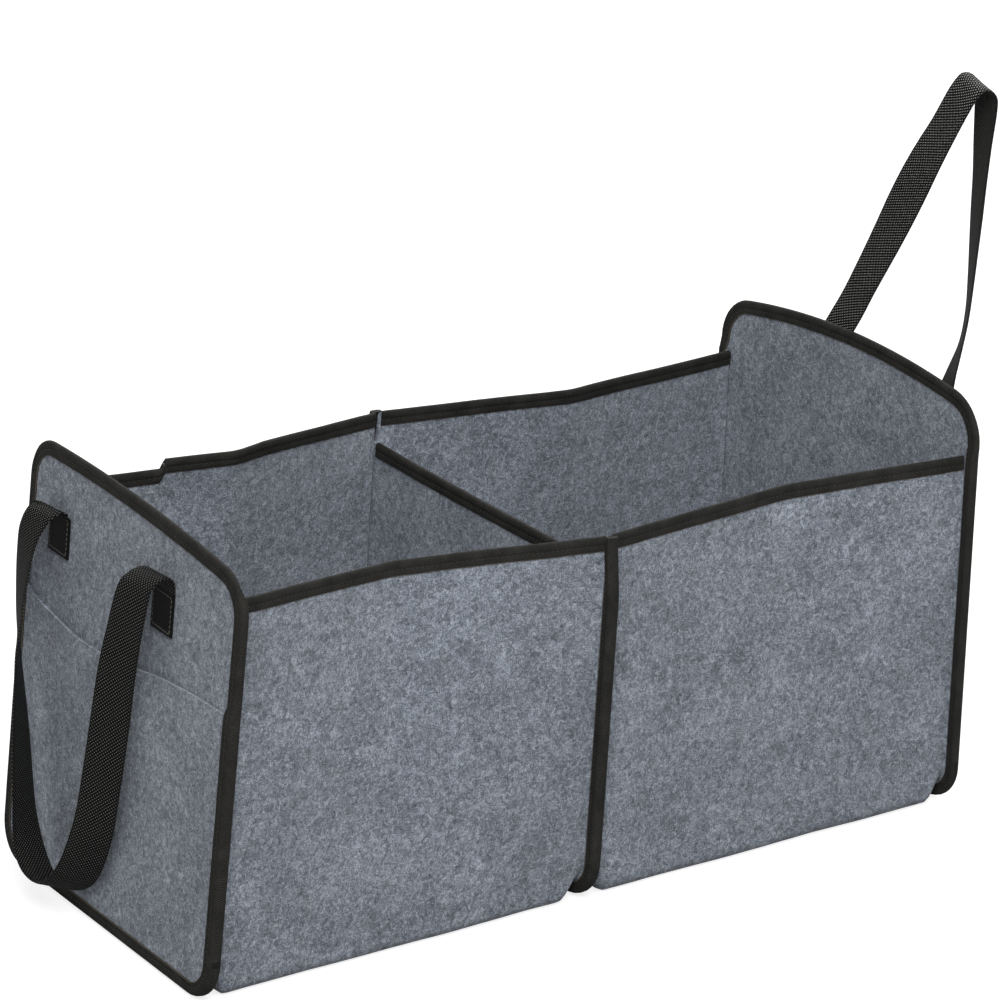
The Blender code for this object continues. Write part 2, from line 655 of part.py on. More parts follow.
def build():
    clear_scene()
    left_grid = panel_grid(LEFT_SEAM, 0.0, LEFT_SEAM.end_top, end_shares(LEFT_SEAM))
    right_grid = panel_grid(RIGHT_SEAM, 0.0, RIGHT_SEAM.end_top, end_shares(RIGHT_SEAM))
    pocket_grid = panel_grid(LEFT_SEAM, -LAYER, pocket_top, POCKET_ROWS, pocket_bulge)
    divider_grid = panel_grid(MIDDLE_SEAM, 0.0, divider_top, DIVIDER_ROWS)
    sheet("left_end_panel", left_grid, FELT, FELT_GREY, 0.95)
    sheet("right_end_panel", right_grid, FELT, FELT_GREY, 0.95)
    sheet("left_end_pocket", pocket_grid, FELT, FELT_GREY, 0.95)
    sheet("divider_panel", divider_grid, FELT, FELT_GREY, 0.95)

    left_half = (LEFT_SEAM, MIDDLE_SEAM, CREASE_IN_FRONT_LEFT, CREASE_IN_BACK_LEFT, CREASES_AT_LEFT, True)
    right_half = (MIDDLE_SEAM, RIGHT_SEAM, CREASE_IN_FRONT_RIGHT, CREASE_IN_BACK_RIGHT, CREASES_AT_RIGHT,
                  False)
    felt_body("left_body_felt", left_half)
    felt_body("right_body_felt", right_half)

    end_binding("left_end_binding", LEFT_SEAM, left_grid, 1.0, True)
    end_binding("right_end_binding", RIGHT_SEAM, right_grid, -1.0, False)
    middle_binding()
    start, end = TOP_BINDING_FROM_TURN, 1.0 - TOP_BINDING_FROM_TURN
    step_low, step_high = step_shares()
    wall_binding("front_left_top_binding", "front", start, end, left_half)
    wall_binding("front_right_top_binding", "front", start, end, right_half)
    wall_binding("back_left_low_binding", "back", start, step_low - STEP_CLEARANCE, left_half)
    wall_binding("back_left_top_binding", "back", step_high, end, left_half)
    wall_binding("back_right_top_binding", "back", start, end, right_half)
    divider_binding()

    handle("left_handle", LEFT_SEAM, -1, LEFT_HANDLE)
    handle("right_handle", RIGHT_SEAM, 1, RIGHT_HANDLE)


build()
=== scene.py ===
import math

import bpy
import bmesh
import numpy as np
from mathutils import Matrix, Vector, noise


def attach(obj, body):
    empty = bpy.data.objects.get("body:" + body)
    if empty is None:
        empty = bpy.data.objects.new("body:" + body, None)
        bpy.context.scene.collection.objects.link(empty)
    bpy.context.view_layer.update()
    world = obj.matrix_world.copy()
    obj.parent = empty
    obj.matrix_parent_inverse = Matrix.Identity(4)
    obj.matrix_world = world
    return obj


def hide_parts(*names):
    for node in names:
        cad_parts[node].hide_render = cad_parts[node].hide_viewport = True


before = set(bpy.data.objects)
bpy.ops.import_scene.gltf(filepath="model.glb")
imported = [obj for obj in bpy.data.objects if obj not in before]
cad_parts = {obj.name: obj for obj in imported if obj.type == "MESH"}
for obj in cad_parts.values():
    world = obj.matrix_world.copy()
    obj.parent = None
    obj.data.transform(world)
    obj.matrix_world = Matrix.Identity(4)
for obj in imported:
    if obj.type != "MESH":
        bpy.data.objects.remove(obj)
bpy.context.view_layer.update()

# Layers of a seam, in metres
FELT = 0.0019
TAPE = 0.0006
GAP = 0.0002
FIN = 0.0095
TAPE_ON_PANEL = 0.0080
TAPE_ON_FIN = 0.0066
TAPE_ON_TOP = 0.0082
TURN_RADIUS = 0.0020
SEAM_LIFT = 0.0013
LAYER_INSET = 0.0022

# Body of the bag
BAG_CENTRE_X = 0.00353
BAG_LENGTH = 0.550
BAG_DEPTH = 0.2364
PANEL_CORNER_RADIUS = 0.0236
FLOOR_EDGE_RADIUS = 0.007
TUCK_LENGTH = 0.013

# Seams: place, lean, turn and wall height
LEFT_END_LEAN = 0.072
LEFT_END_TURN = 0.087
LEFT_END_SKEW = 0.040
LEFT_WALL_HEIGHT = 0.2470
MIDDLE_SEAM_X = -0.0108
MIDDLE_SEAM_LEAN = 0.034
MIDDLE_SEAM_TURN = 0.008
MIDDLE_SEAM_SKEW = 0.026
MIDDLE_WALL_HEIGHT = 0.2332
RIGHT_END_LEAN = 0.002
RIGHT_END_TURN = 0.020
RIGHT_END_SKEW = -0.003
RIGHT_WALL_HEIGHT = 0.2285
SKEW_FROM_HEIGHT = 0.030
SKEW_FULL_HEIGHT = 0.100
MIDDLE_FIN_AT_TOP = 0.45
TAPER_ROW = 0.20

# Creases, steps and top edges
CREASE_ROUNDING = 0.012
CREASE_IN_FRONT_LEFT = 0.019
CREASE_IN_FRONT_RIGHT = 0.015
CREASE_IN_BACK_LEFT = 0.028
CREASE_IN_BACK_RIGHT = 0.018
CREASES_AT_LEFT = (0.459, 0.490)
CREASES_AT_RIGHT = (0.533, 0.486)
STEP_FROM_SEAM = 0.072
STEP_DROP = 0.006
BACK_LEFT_FALL = 0.010
BACK_LEFT_FALL_TO = 0.60
STEP_LENGTH = 0.004
STEP_POWER = 8
BOW_POWER = 1.3
LEFT_END_ABOVE_WALL = 0.0180
LEFT_END_ARCH = 0.0050
RIGHT_END_ABOVE_WALL = 0.0462
RIGHT_END_ARCH = 0.0135
DIVIDER_BELOW_WALL = 0.019
DIVIDER_SAG = 0.0015

# Pocket
POCKET_SIDE_HEIGHT = 0.178
POCKET_MOUTH_Y = (-0.128, -0.100, -0.070, -0.040, -0.010, 0.020, 0.045, 0.070, 0.095, 0.115, 0.128)
POCKET_MOUTH_Z = (0.1806, 0.1782, 0.1757, 0.1720, 0.1672, 0.1635, 0.1617, 0.1613, 0.1620, 0.1650, 0.1700)
POCKET_MOUTH_BULGE = 0.0030
POCKET_BULGE_CENTRE = 0.030
POCKET_BULGE_SPREAD = 0.060

# Webbing
WEBBING_WIDTH = 0.025
WEBBING = 0.0013
TAB_LOW = 0.1990
TAB_HIGH = 0.2235
TABS_FROM_MIDDLE = (0.0397, 0.0865)

LEFT_HANDLE = [
    ((-0.2654, -0.0400, 0.2315), (0.00, -1.00, 0.00)),
    ((-0.2714, -0.0400, 0.2345), (0.00, -1.00, 0.00)),
    ((-0.2789, -0.0398, 0.2319), (0.10, -1.00, 0.00)),
    ((-0.2839, -0.0387, 0.2237), (0.22, -0.97, 0.00)),
    ((-0.2863, -0.0331, 0.1965), (0.30, -0.95, 0.00)),
    ((-0.2872, -0.0276, 0.1713), (0.42, -0.91, 0.00)),
    ((-0.2882, -0.0231, 0.1411), (0.50, -0.87, 0.00)),
    ((-0.2902, -0.0164, 0.0958), (0.52, -0.85, 0.00)),
    ((-0.2916, -0.0109, 0.0686), (0.60, -0.80, 0.00)),
    ((-0.2923, 0.0010, 0.0423), (0.75, -0.60, -0.27)),
    ((-0.2924, 0.0150, 0.0271), (0.88, -0.22, -0.40)),
    ((-0.2919, 0.0310, 0.0204), (0.94, 0.00, -0.34)),
    ((-0.2914, 0.0469, 0.0228), (0.94, 0.10, -0.28)),
    ((-0.2900, 0.0585, 0.0327), (0.93, 0.24, -0.14)),
    ((-0.2887, 0.0658, 0.0477), (0.90, 0.40, 0.00)),
    ((-0.2875, 0.0699, 0.0648), (0.87, 0.49, 0.00)),
    ((-0.2853, 0.0751, 0.0838), (0.84, 0.54, 0.00)),
    ((-0.2831, 0.0802, 0.1040), (0.79, 0.61, 0.00)),
    ((-0.2808, 0.0854, 0.1231), (0.71, 0.70, 0.00)),
    ((-0.2786, 0.0905, 0.1452), (0.61, 0.79, 0.00)),
    ((-0.2764, 0.0930, 0.1653), (0.45, 0.89, 0.00)),
    ((-0.2748, 0.0933, 0.1856), (0.33, 0.94, 0.00)),
    ((-0.2743, 0.0911, 0.2037), (0.24, 0.97, 0.00)),
    ((-0.2729, 0.0883, 0.2189), (0.12, 0.99, 0.00)),
    ((-0.2679, 0.0860, 0.2295), (0.00, 1.00, 0.00)),
    ((-0.2614, 0.0853, 0.2326), (0.00, 1.00, 0.00)),
    ((-0.2568, 0.0868, 0.2308), (0.00, 1.00, 0.00)),
]
RIGHT_HANDLE = [
    ((0.2794, 0.0339, 0.2423), (0.01, 0.95, 0.31)),
    ((0.2840, 0.0249, 0.2646), (0.09, 0.92, 0.39)),
    ((0.2872, 0.0146, 0.2852), (0.11, 0.89, 0.45)),
    ((0.2872, 0.0038, 0.3046), (0.10, 0.87, 0.49)),
    ((0.2867, -0.0074, 0.3237), (0.04, 0.86, 0.51)),
    ((0.2857, -0.0188, 0.3426), (-0.04, 0.85, 0.52)),
    ((0.2841, -0.0304, 0.3614), (-0.11, 0.85, 0.52)),
    ((0.2825, -0.0421, 0.3801), (-0.10, 0.84, 0.53)),
    ((0.2811, -0.0540, 0.3987), (0.00, 0.84, 0.53)),
    ((0.2805, -0.0660, 0.4174), (0.12, 0.84, 0.52)),
    ((0.2800, -0.0774, 0.4362), (0.15, 0.86, 0.49)),
    ((0.2806, -0.0826, 0.4453), (0.17, 0.88, 0.45)),
    ((0.2829, -0.0868, 0.4530), (0.24, 0.90, 0.37)),
    ((0.2883, -0.0890, 0.4549), (0.30, 0.94, 0.16)),
    ((0.2935, -0.0900, 0.4491), (0.19, 0.98, 0.01)),
    ((0.2941, -0.0903, 0.4393), (0.16, 0.99, -0.03)),
    ((0.2924, -0.0911, 0.4177), (0.27, 0.96, -0.06)),
    ((0.2909, -0.0921, 0.3958), (0.37, 0.93, -0.06)),
    ((0.2895, -0.0928, 0.3738), (0.42, 0.90, -0.04)),
    ((0.2886, -0.0930, 0.3520), (0.49, 0.87, -0.01)),
    ((0.2882, -0.0928, 0.3301), (0.56, 0.83, 0.01)),
    ((0.2878, -0.0918, 0.3083), (0.62, 0.78, 0.03)),
    ((0.2866, -0.0889, 0.2869), (0.64, 0.77, 0.03)),
    ((0.2836, -0.0848, 0.2662), (0.50, 0.86, 0.04)),
    ((0.2798, -0.0825, 0.2452), (0.27, 0.96, 0.03)),
]

# Surface waves of the felt
WAVE = 0.0011
SMALL_WAVE = 0.0003

# Stitches
STITCH_PITCH = 0.0033
STITCH_LENGTH = 0.0024
THREAD = 0.00024
TAB_STITCHES = (0.00028, 0.0023, 0.0030)
TAB_STITCH_INSET = 0.0022

# Paths of the tapes
RING_SPACING = 0.0042
SHORTEST_PANEL_LEG = 0.0050
SHORTEST_MIDDLE_LEG = 0.0034
TAPE_STEP_OFFSET = 0.002
LID = 0.0004

HALF_DEPTH = (BAG_DEPTH - FELT) / 2
LAYER = FELT + GAP
CHANNEL = FELT / 2 + GAP
SEAM_FLOOR = FIN + SEAM_LIFT
FLOOR_LEVEL = 0.001
PANEL_HALF = HALF_DEPTH + FIN
SEAM_CORNER_RADIUS = PANEL_CORNER_RADIUS - FIN


def smooth_step(value):
    value = min(max(value, 0.0), 1.0)
    return value * value * (3.0 - 2.0 * value)


def ripple(x, y, z, size, seed):
    """Smooth noise from about -1 to 1 with features of this size."""
    return noise.noise(Vector((x / size + seed * 17.3, y / size - seed * 5.1, z / size + seed * 3.7)))


# Seams
class Seam:
    def __init__(self, floor_x, lean, turn, skew, wall_height, above_wall=0.0, arch=0.0):
        self.floor_x = floor_x
        self.lean = lean
        self.turn = turn
        self.skew = skew
        self.top = wall_height - 0.001
        self.peak = self.top + above_wall
        self.arch = arch
        self.halves = [y for y in panel_columns() if y >= 0.0][::-1]
        self.heights = [self.end_top(y) for y in self.halves]

    def end_top(self, y):
        into_corner = max(abs(y) - (PANEL_HALF - PANEL_CORNER_RADIUS), 0.0)
        fall = PANEL_CORNER_RADIUS - math.sqrt(max(PANEL_CORNER_RADIUS ** 2 - into_corner ** 2, 0.0))
        return self.peak - self.arch * (y / PANEL_HALF) ** 2 - fall

    def x(self, y, z):
        return self.floor_x + self.lean * z + self.turn * y

    def rise(self, y, z):
        share = (z - SKEW_FROM_HEIGHT) / (SKEW_FULL_HEIGHT - SKEW_FROM_HEIGHT)
        return self.skew * y * min(max(share, 0.0), 1.0)

    def point(self, y, z, layer=0.0):
        z += self.rise(y, z)
        return np.array([self.x(y, z) + layer, y, z])

    def normal(self):
        normal = np.array([1.0, -self.turn, -self.lean])
        return normal / np.linalg.norm(normal)

    def fin(self, z):
        return float(np.interp(z + GAP, self.heights, self.halves)) - HALF_DEPTH

    def panel_y(self, y, z):
        return y


class MiddleSeam(Seam):
    def fin(self, z):
        taper = TAPER_ROW * (self.top - SEAM_FLOOR - SEAM_CORNER_RADIUS)
        grown = smooth_step((self.top - z) / taper)
        return FIN * (MIDDLE_FIN_AT_TOP + (1.0 - MIDDLE_FIN_AT_TOP) * grown)

    def panel_y(self, y, z):
        in_fin = max(abs(y) - HALF_DEPTH, 0.0)
        return math.copysign(abs(y) - in_fin * (1.0 - self.fin(z) / FIN), y)


def panel_bottom(y):
    into_corner = max(abs(y) - (PANEL_HALF - PANEL_CORNER_RADIUS), 0.0)
    rise = PANEL_CORNER_RADIUS - math.sqrt(max(PANEL_CORNER_RADIUS ** 2 - into_corner ** 2, 0.0))
    return SEAM_FLOOR - FIN + rise


def panel_columns():
    flat = PANEL_HALF - PANEL_CORNER_RADIUS
    half = [flat * k / 20 for k in range(20)]
    half += [flat + PANEL_CORNER_RADIUS * math.sin(k * math.pi / 2 / 12) for k in range(13)]
    return [-y for y in reversed(half[1:])] + half


LEFT_SEAM = Seam(-BAG_LENGTH / 2 + 0.001, LEFT_END_LEAN, LEFT_END_TURN, LEFT_END_SKEW,
                 LEFT_WALL_HEIGHT, LEFT_END_ABOVE_WALL, LEFT_END_ARCH)
MIDDLE_SEAM = MiddleSeam(MIDDLE_SEAM_X, MIDDLE_SEAM_LEAN, MIDDLE_SEAM_TURN, MIDDLE_SEAM_SKEW,
                         MIDDLE_WALL_HEIGHT)
RIGHT_SEAM = Seam(BAG_LENGTH / 2 - 0.001, RIGHT_END_LEAN, RIGHT_END_TURN, RIGHT_END_SKEW,
                  RIGHT_WALL_HEIGHT, RIGHT_END_ABOVE_WALL, RIGHT_END_ARCH)


# Meshes, tapes and stitches
def add_mesh(name, points, faces, materials, uvs=None, indices=None, sharp=40):
    """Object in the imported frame. uvs holds one (u, v) a point, indices a material a face."""
    mesh = bpy.data.meshes.new(name)
    points = np.array(points, dtype=float) + (BAG_CENTRE_X, 0.0, 0.0)
    mesh.from_pydata(points.tolist(), [], faces)
    if indices is not None:
        mesh.polygons.foreach_set("material_index", indices)
    if uvs is not None:
        layer = mesh.uv_layers.new(name="UVMap")
        corners = np.empty(len(mesh.loops), dtype=np.int32)
        mesh.loops.foreach_get("vertex_index", corners)
        layer.data.foreach_set("uv", np.array(uvs, dtype=np.float32)[corners].ravel())
    shell = bmesh.new()
    shell.from_mesh(mesh)
    bmesh.ops.recalc_face_normals(shell, faces=shell.faces)
    shell.to_mesh(mesh)
    shell.free()
    for material in materials:
        mesh.materials.append(material)
    mesh.polygons.foreach_set("use_smooth", [True] * len(mesh.polygons))
    mesh.set_sharp_from_angle(angle=math.radians(sharp))
    piece = bpy.data.objects.new(name, mesh)
    bpy.context.scene.collection.objects.link(piece)
    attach(piece, "root")
    return piece


def surface_normals(middle):
    flat = np.cross(middle[1:, 1:] - middle[:-1, :-1], middle[1:, :-1] - middle[:-1, 1:])
    flat /= np.linalg.norm(flat, axis=2, keepdims=True) + 1e-12
    normal = np.zeros_like(middle)
    for corner in [(slice(0, -1), slice(0, -1)), (slice(1, None), slice(0, -1)),
                   (slice(0, -1), slice(1, None)), (slice(1, None), slice(1, None))]:
        normal[corner] += flat
    normal /= np.linalg.norm(normal, axis=2, keepdims=True) + 1e-12
    return normal


def felt_sheet(name, middle, material):
    """Closed felt sheet round a grid of points, with a soft raw edge."""
    rows, columns = middle.shape[:2]
    normal = surface_normals(middle)
    offset = normal * FELT / 2
    points = np.vstack([(middle + offset).reshape(-1, 3), (middle - offset).reshape(-1, 3)])
    count = rows * columns
    faces = []
    for row in range(rows - 1):
        for column in range(columns - 1):
            a = row * columns + column
            quad = (a, a + 1, a + columns + 1, a + columns)
            faces.append(quad)
            faces.append(tuple(corner + count for corner in reversed(quad)))
    rim = list(range(columns))
    rim += [row * columns + columns - 1 for row in range(1, rows)]
    rim += [(rows - 1) * columns + column for column in reversed(range(columns - 1))]
    rim += [row * columns for row in reversed(range(1, rows - 1))]
    for a, b in zip(rim, rim[1:] + rim[:1]):
        faces.append((b, a, a + count, b + count))
    piece = add_mesh(name, points, faces, [material])
    return piece


def run_directions(points, closed=False):
    points = np.array(points)
    steps = np.diff(np.vstack([points, points[:1]]) if closed else points, axis=0)
    steps /= np.linalg.norm(steps, axis=1, keepdims=True)
    if closed:
        before, after = np.vstack([steps[-1:], steps[:-1]]), steps
    else:
        before, after = np.vstack([steps[:1], steps]), np.vstack([steps, steps[-1:]])
    mean = before + after
    mean /= np.linalg.norm(mean, axis=1, keepdims=True)
    return mean, 1.0 / np.clip(np.sum(mean * after, axis=1), 0.5, 1.0)


ARC = [math.radians(a) for a in (12, 32, 52, 72)]


def half_profile(reach, leg):
    """One side of a folded tape, from its free edge up to the fold: (across, outward, from edge).

    reach is how far this side of the channel is from its middle.
    """
    roll = min(0.0030, leg * 0.42)
    stitch = roll + 0.0016
    side = reach + TAPE
    points = [(side - 0.00020, -leg), (side + 0.00006, -leg + 0.00035),
              (side + 0.00004, -(leg + stitch) / 2), (side - 0.00008, -stitch - 0.0007),
              (side - 0.00030, -stitch), (side - 0.00004, -stitch + 0.0008),
              (side + 0.00026, -roll + 0.0002)]
    top = GAP + TAPE
    bulge = side + 0.00026
    points += [(bulge * math.cos(a) ** 0.8, -roll + 0.0004 + (top + roll - 0.0004) * math.sin(a))
               for a in ARC]
    return points


def tape(name, rings, closed, material, stitch_paths, lids=False):
    """Folded tape through rings (edge, across, outward, low, high, low leg, high leg).

    lids closes the fold at both ends. The paths of its two rows of stitches go into stitch_paths.
    """
    outer_rings, inner_rings, lengths = [], [], [0.0]
    around_uv = None
    paths = ([], [])
    last_edge = None
    for edge, across, outward, low, high, low_leg, high_leg in rings:
        if last_edge is not None:
            lengths.append(lengths[-1] + float(np.linalg.norm(edge - last_edge)))
        last_edge = edge
        middle = (low + high) / 2
        reach = (high - low) / 2
        wobble = 1.0 + 0.035 * ripple(*edge, 0.035, 3) + 0.02 * ripple(*edge, 0.009, 5)
        left = half_profile(reach, low_leg * wobble)
        right = half_profile(reach, high_leg * (2.0 - wobble))
        top = (0.0, GAP + TAPE)
        profile = [(-a, b) for a, b in left] + [top] + list(reversed(right))
        lift = 0.00010 * ripple(*edge, 0.012, 7)
        outer = [edge + across * (middle + a * (1.0 + lift * 200)) + outward * b for a, b in profile]
        inner = []
        for a, b in profile:
            share = min(1.0, (reach + GAP * 0.2) / (reach + TAPE))
            inner.append(edge + across * (middle + a * share) + outward * min(b, GAP * 0.6))
        outer_rings.append(outer)
        inner_rings.append(inner)
        paths[0].append(outer[4] + across * 0.00004)
        paths[1].append(outer[-5] - across * 0.00004)
        if around_uv is None:
            steps = np.linalg.norm(np.diff(np.array(outer), axis=0), axis=1)
            run = np.concatenate([[0.0], np.cumsum(steps)])
            around_uv = np.minimum(run, run[-1] - run)
    width = len(outer_rings[0])
    around = 2 * width
    points = np.vstack([np.vstack([o, i[::-1]]) for o, i in zip(outer_rings, inner_rings)])
    uvs = []
    for length in lengths:
        uvs += [(length, v) for v in around_uv] + [(length, -0.001)] * width
    pairs = list(zip(range(len(rings) - 1), range(1, len(rings))))
    if closed:
        pairs.append((len(rings) - 1, 0))
    faces = []
    for first, second in pairs:
        for corner in range(around):
            following = (corner + 1) % around
            faces.append((first * around + corner, first * around + following,
                          second * around + following, second * around + corner))
    if not closed:
        end = (len(rings) - 1) * around
        for corner in range(width - 1):
            cap = (corner, corner + 1, around - 2 - corner, around - 1 - corner)
            faces.append(tuple(reversed(cap)))
            faces.append(tuple(end + c for c in cap))
        if lids:
            for last, before in ((0, 1), (-1, -2)):
                away = rings[last][0] - rings[before][0]
                away *= LID / np.linalg.norm(away)
                start = len(points)
                outer = np.array(outer_rings[last])
                lid = np.vstack([outer + away * 0.1, outer + away])
                points = np.vstack([points, lid])
                uvs += [(0.0, v) for v in around_uv] * 2
                faces.append(tuple(start + c for c in range(width)))
                faces.append(tuple(start + width + c for c in reversed(range(width))))
                for corner in range(width):
                    first, second = start + corner, start + (corner + 1) % width
                    faces.append((first, first + width, second + width, second))
    across_all = [ring[1] for ring in rings]
    for side, path in enumerate(paths):
        normals = [-a if side == 0 else a for a in across_all]
        if closed:
            path, normals = path + path[:1], normals + normals[:1]
        stitch_paths.append((np.array(path), np.array(normals)))
    piece = add_mesh(name, points, faces, [material], uvs)
    return piece


def along_path(path, normals, pitch):
    """Places spaced evenly along a path: (place, direction, normal)."""
    steps = np.linalg.norm(np.diff(path, axis=0), axis=1)
    run = np.concatenate([[0.0], np.cumsum(steps)])
    found = []
    at = pitch * 0.6
    while at < run[-1] - pitch * 0.4:
        ends = [np.array([np.interp(s, run, path[:, k]) for k in range(3)])
                for s in (at - 0.0004, at, at + 0.0004)]
        normal = np.array([np.interp(at, run, normals[:, k]) for k in range(3)])
        direction = ends[2] - ends[0]
        direction /= np.linalg.norm(direction)
        normal -= direction * np.dot(normal, direction)
        found.append((ends[1], direction, normal / np.linalg.norm(normal)))
        at += pitch
    return found


def stitches(name, paths, material, thread=THREAD, length=STITCH_LENGTH, pitch=STITCH_PITCH):
    """A row of short sunk threads along each path."""
    shape = [(-0.5, 0.35, -0.5), (-0.32, 0.95, 0.35), (0.32, 0.95, 0.35), (0.5, 0.35, -0.5)]
    sides = 5
    points, faces = [], []
    for path, normals in paths:
        for place, direction, normal in along_path(path, normals, pitch):
            side = np.cross(direction, normal)
            start = len(points)
            for along, size, lift in shape:
                centre = place + direction * (length * along) + normal * (thread * lift)
                for k in range(sides):
                    angle = 2 * math.pi * k / sides
                    round_it = side * math.cos(angle) + normal * math.sin(angle)
                    points.append(centre + round_it * thread * size)
            for ring in range(len(shape) - 1):
                for k in range(sides):
                    a = start + ring * sides + k
                    b = start + ring * sides + (k + 1) % sides
                    faces.append((a, b, b + sides, a + sides))
            faces.append(tuple(start + k for k in reversed(range(sides))))
            faces.append(tuple(start + (len(shape) - 1) * sides + k for k in range(sides)))
    piece = add_mesh(name, points, faces, [material], sharp=70)
    return piece


# Walls and floor of each half
def u_rows():
    def spread(count):
        return [k / count for k in range(count)]
    rows = [("front", f) for f in [0.0, 0.012, 0.025, 0.04] + [0.05 + 0.95 * k / 38 for k in range(38)]]
    rows += [("front_corner", f) for f in spread(10)]
    rows += [("floor", f) for f in spread(40)]
    rows += [("back_corner", f) for f in spread(10)]
    rows += [("back", f) for f in [0.95 * k / 38 for k in range(38)] + [0.95, 0.96, 0.975, 0.988, 1.0]]
    return rows


def u_point(row, half, bottom, radius, top):
    stretch, share = row
    angle = share * math.pi / 2
    if stretch == "front":
        return -half, top + (bottom + radius - top) * share
    if stretch == "front_corner":
        return -half + radius * (1 - math.cos(angle)), bottom + radius * (1 - math.sin(angle))
    if stretch == "floor":
        return (half - radius) * (2 * share - 1), bottom
    if stretch == "back_corner":
        return half - radius * (1 - math.sin(angle)), bottom + radius * (1 - math.cos(angle))
    return half, bottom + radius + (top - bottom - radius) * share


def seam_u(row, seam, outset):
    return u_point(row, HALF_DEPTH + outset, SEAM_FLOOR - outset, SEAM_CORNER_RADIUS + outset, seam.top)


def fin_tip(row, seam):
    height = seam_u(row, seam, FIN)[1]
    return seam_u(row, seam, seam.fin(height))


def crease_share(share, length):
    from_crease = abs(share - 0.5) * length
    rounding = CREASE_ROUNDING / 2
    if from_crease < rounding:
        from_crease = (from_crease * from_crease + rounding * rounding) / (2 * rounding)
    return 1.0 - from_crease / (length / 2)


def step_shares():
    middle_x = MIDDLE_SEAM.x(HALF_DEPTH, MIDDLE_SEAM.top)
    top_length = middle_x - LEFT_SEAM.x(HALF_DEPTH, LEFT_SEAM.top) - 2 * (LAYER + TURN_RADIUS)
    return [(STEP_FROM_SEAM + side * STEP_LENGTH / 2) / top_length for side in (-1, 1)]


def body_point(row, share, half):
    left, right, front_bow, back_bow, (front_crease, back_crease), has_step = half
    length = right.floor_x - left.floor_x
    from_seam = min(share, 1.0 - share) * length
    belly = smooth_step(from_seam / TUCK_LENGTH)
    top = left.top + (right.top - left.top) * share
    near = seam_u(row, left, 0.0) if share < 0.5 else seam_u(row, right, 0.0)
    free = u_point(row, HALF_DEPTH, FLOOR_LEVEL, FLOOR_EDGE_RADIUS, top)
    y = near[0] + (free[0] - near[0]) * belly
    z = near[1] + (free[1] - near[1]) * belly
    bow = (max(z, 0.0) / top) ** BOW_POWER * crease_share(share, length)
    flat_z = z
    z += left.rise(y, z) * (1.0 - share) + right.rise(y, z) * share
    low = left.x(y, z) + LAYER + TURN_RADIUS
    high = right.x(y, z) - LAYER - TURN_RADIUS
    behind = min(max(0.5 + y / (2 * HALF_DEPTH), 0.0), 1.0)
    crease = front_crease + (back_crease - front_crease) * behind
    x = low + (high - low) * (share + (crease - 0.5) * (1.0 - abs(2.0 * share - 1.0)))
    if row[0] == "back" and has_step:
        before, after = step_shares()
        below = 1.0 - smooth_step((share - before) / (after - before))
        fall = BACK_LEFT_FALL * max(1.0 - share / BACK_LEFT_FALL_TO, 0.0)
        z -= (STEP_DROP * below + fall) * row[1] ** STEP_POWER
    free_share = smooth_step((from_seam - 0.004) / 0.030)
    wave = WAVE * ripple(x, y, flat_z, 0.055, 1) + SMALL_WAVE * ripple(x, y, flat_z, 0.018, 2)
    wave *= free_share
    if row[0].startswith("front"):
        y += front_bow * bow + wave
    elif row[0].startswith("back"):
        y -= back_bow * bow + wave
    else:
        z += abs(wave) * smooth_step((0.5 - abs(row[1] - 0.5)) * 8)
    return np.array([x, y, z])


def body_shares(has_step):
    start = [0.0, 0.009, 0.018, 0.027, 0.036, 0.045, 0.055, 0.068, 0.082]
    shares = start + list(np.linspace(0.10, 0.46, 19)) + [0.475, 0.4875, 0.50]
    shares = shares + [1.0 - s for s in reversed(shares[:-1])]
    if has_step:
        before, after = step_shares()
        shares = [s for s in shares if not before - 0.012 < s < after + 0.012]
        shares += list(np.linspace(before - 0.008, after + 0.008, 9))
    return sorted(float(s) for s in shares)


def fin_line(row, seam, side):
    """Points of a wall's turned-out edge, from inside the tape's fold to where the wall starts."""
    height = seam_u(row, seam, FIN)[1]
    tip = np.array(seam_u(row, seam, max(seam.fin(height) - LAYER_INSET, 0.0022)))
    root = np.array(seam_u(row, seam, TURN_RADIUS))
    if (tip[0] - root[0]) * math.copysign(1, root[0] or 1) < 0.0006 and row[0] in ("front", "back"):
        root = tip
    points = [seam.point(*(tip + (root - tip) * f), side * LAYER) for f in (0.0, 0.45, 1.0)]
    for angle in (math.pi / 8, math.pi / 4, math.pi * 3 / 8):
        outset = TURN_RADIUS * (1 - math.sin(angle))
        inset = TURN_RADIUS * (1 - math.cos(angle))
        points.append(seam.point(*seam_u(row, seam, outset), side * (LAYER + inset)))
    return points


def make_body(name, half, material):
    left, right, has_step = half[0], half[1], half[-1]
    grid = []
    for row in u_rows():
        line = fin_line(row, left, 1)
        line += [body_point(row, share, half) for share in body_shares(has_step)]
        line += list(reversed(fin_line(row, right, -1)))
        grid.append(line)
    return felt_sheet(name, np.array(grid), material)


# End panels, pocket, divider and the paths of the tapes
def panel_wave(seam, y, z, strength=1.0):
    """How far a sewn-in panel stands out of its plane."""
    rim = min(PANEL_HALF - abs(y), z - panel_bottom(y), seam.end_top(y) - z)
    at_tabs = min(abs(abs(y) - t) for t in TABS_FROM_MIDDLE) if z > 0.19 else 1.0
    calm = smooth_step((rim - 0.009) / 0.03) * smooth_step((at_tabs - 0.010) / 0.02)
    broad = 0.0014 * ripple(seam.floor_x, y, z, 0.07, 11)
    return strength * calm * (broad + 0.0003 * ripple(seam.floor_x, y, z, 0.02, 12))


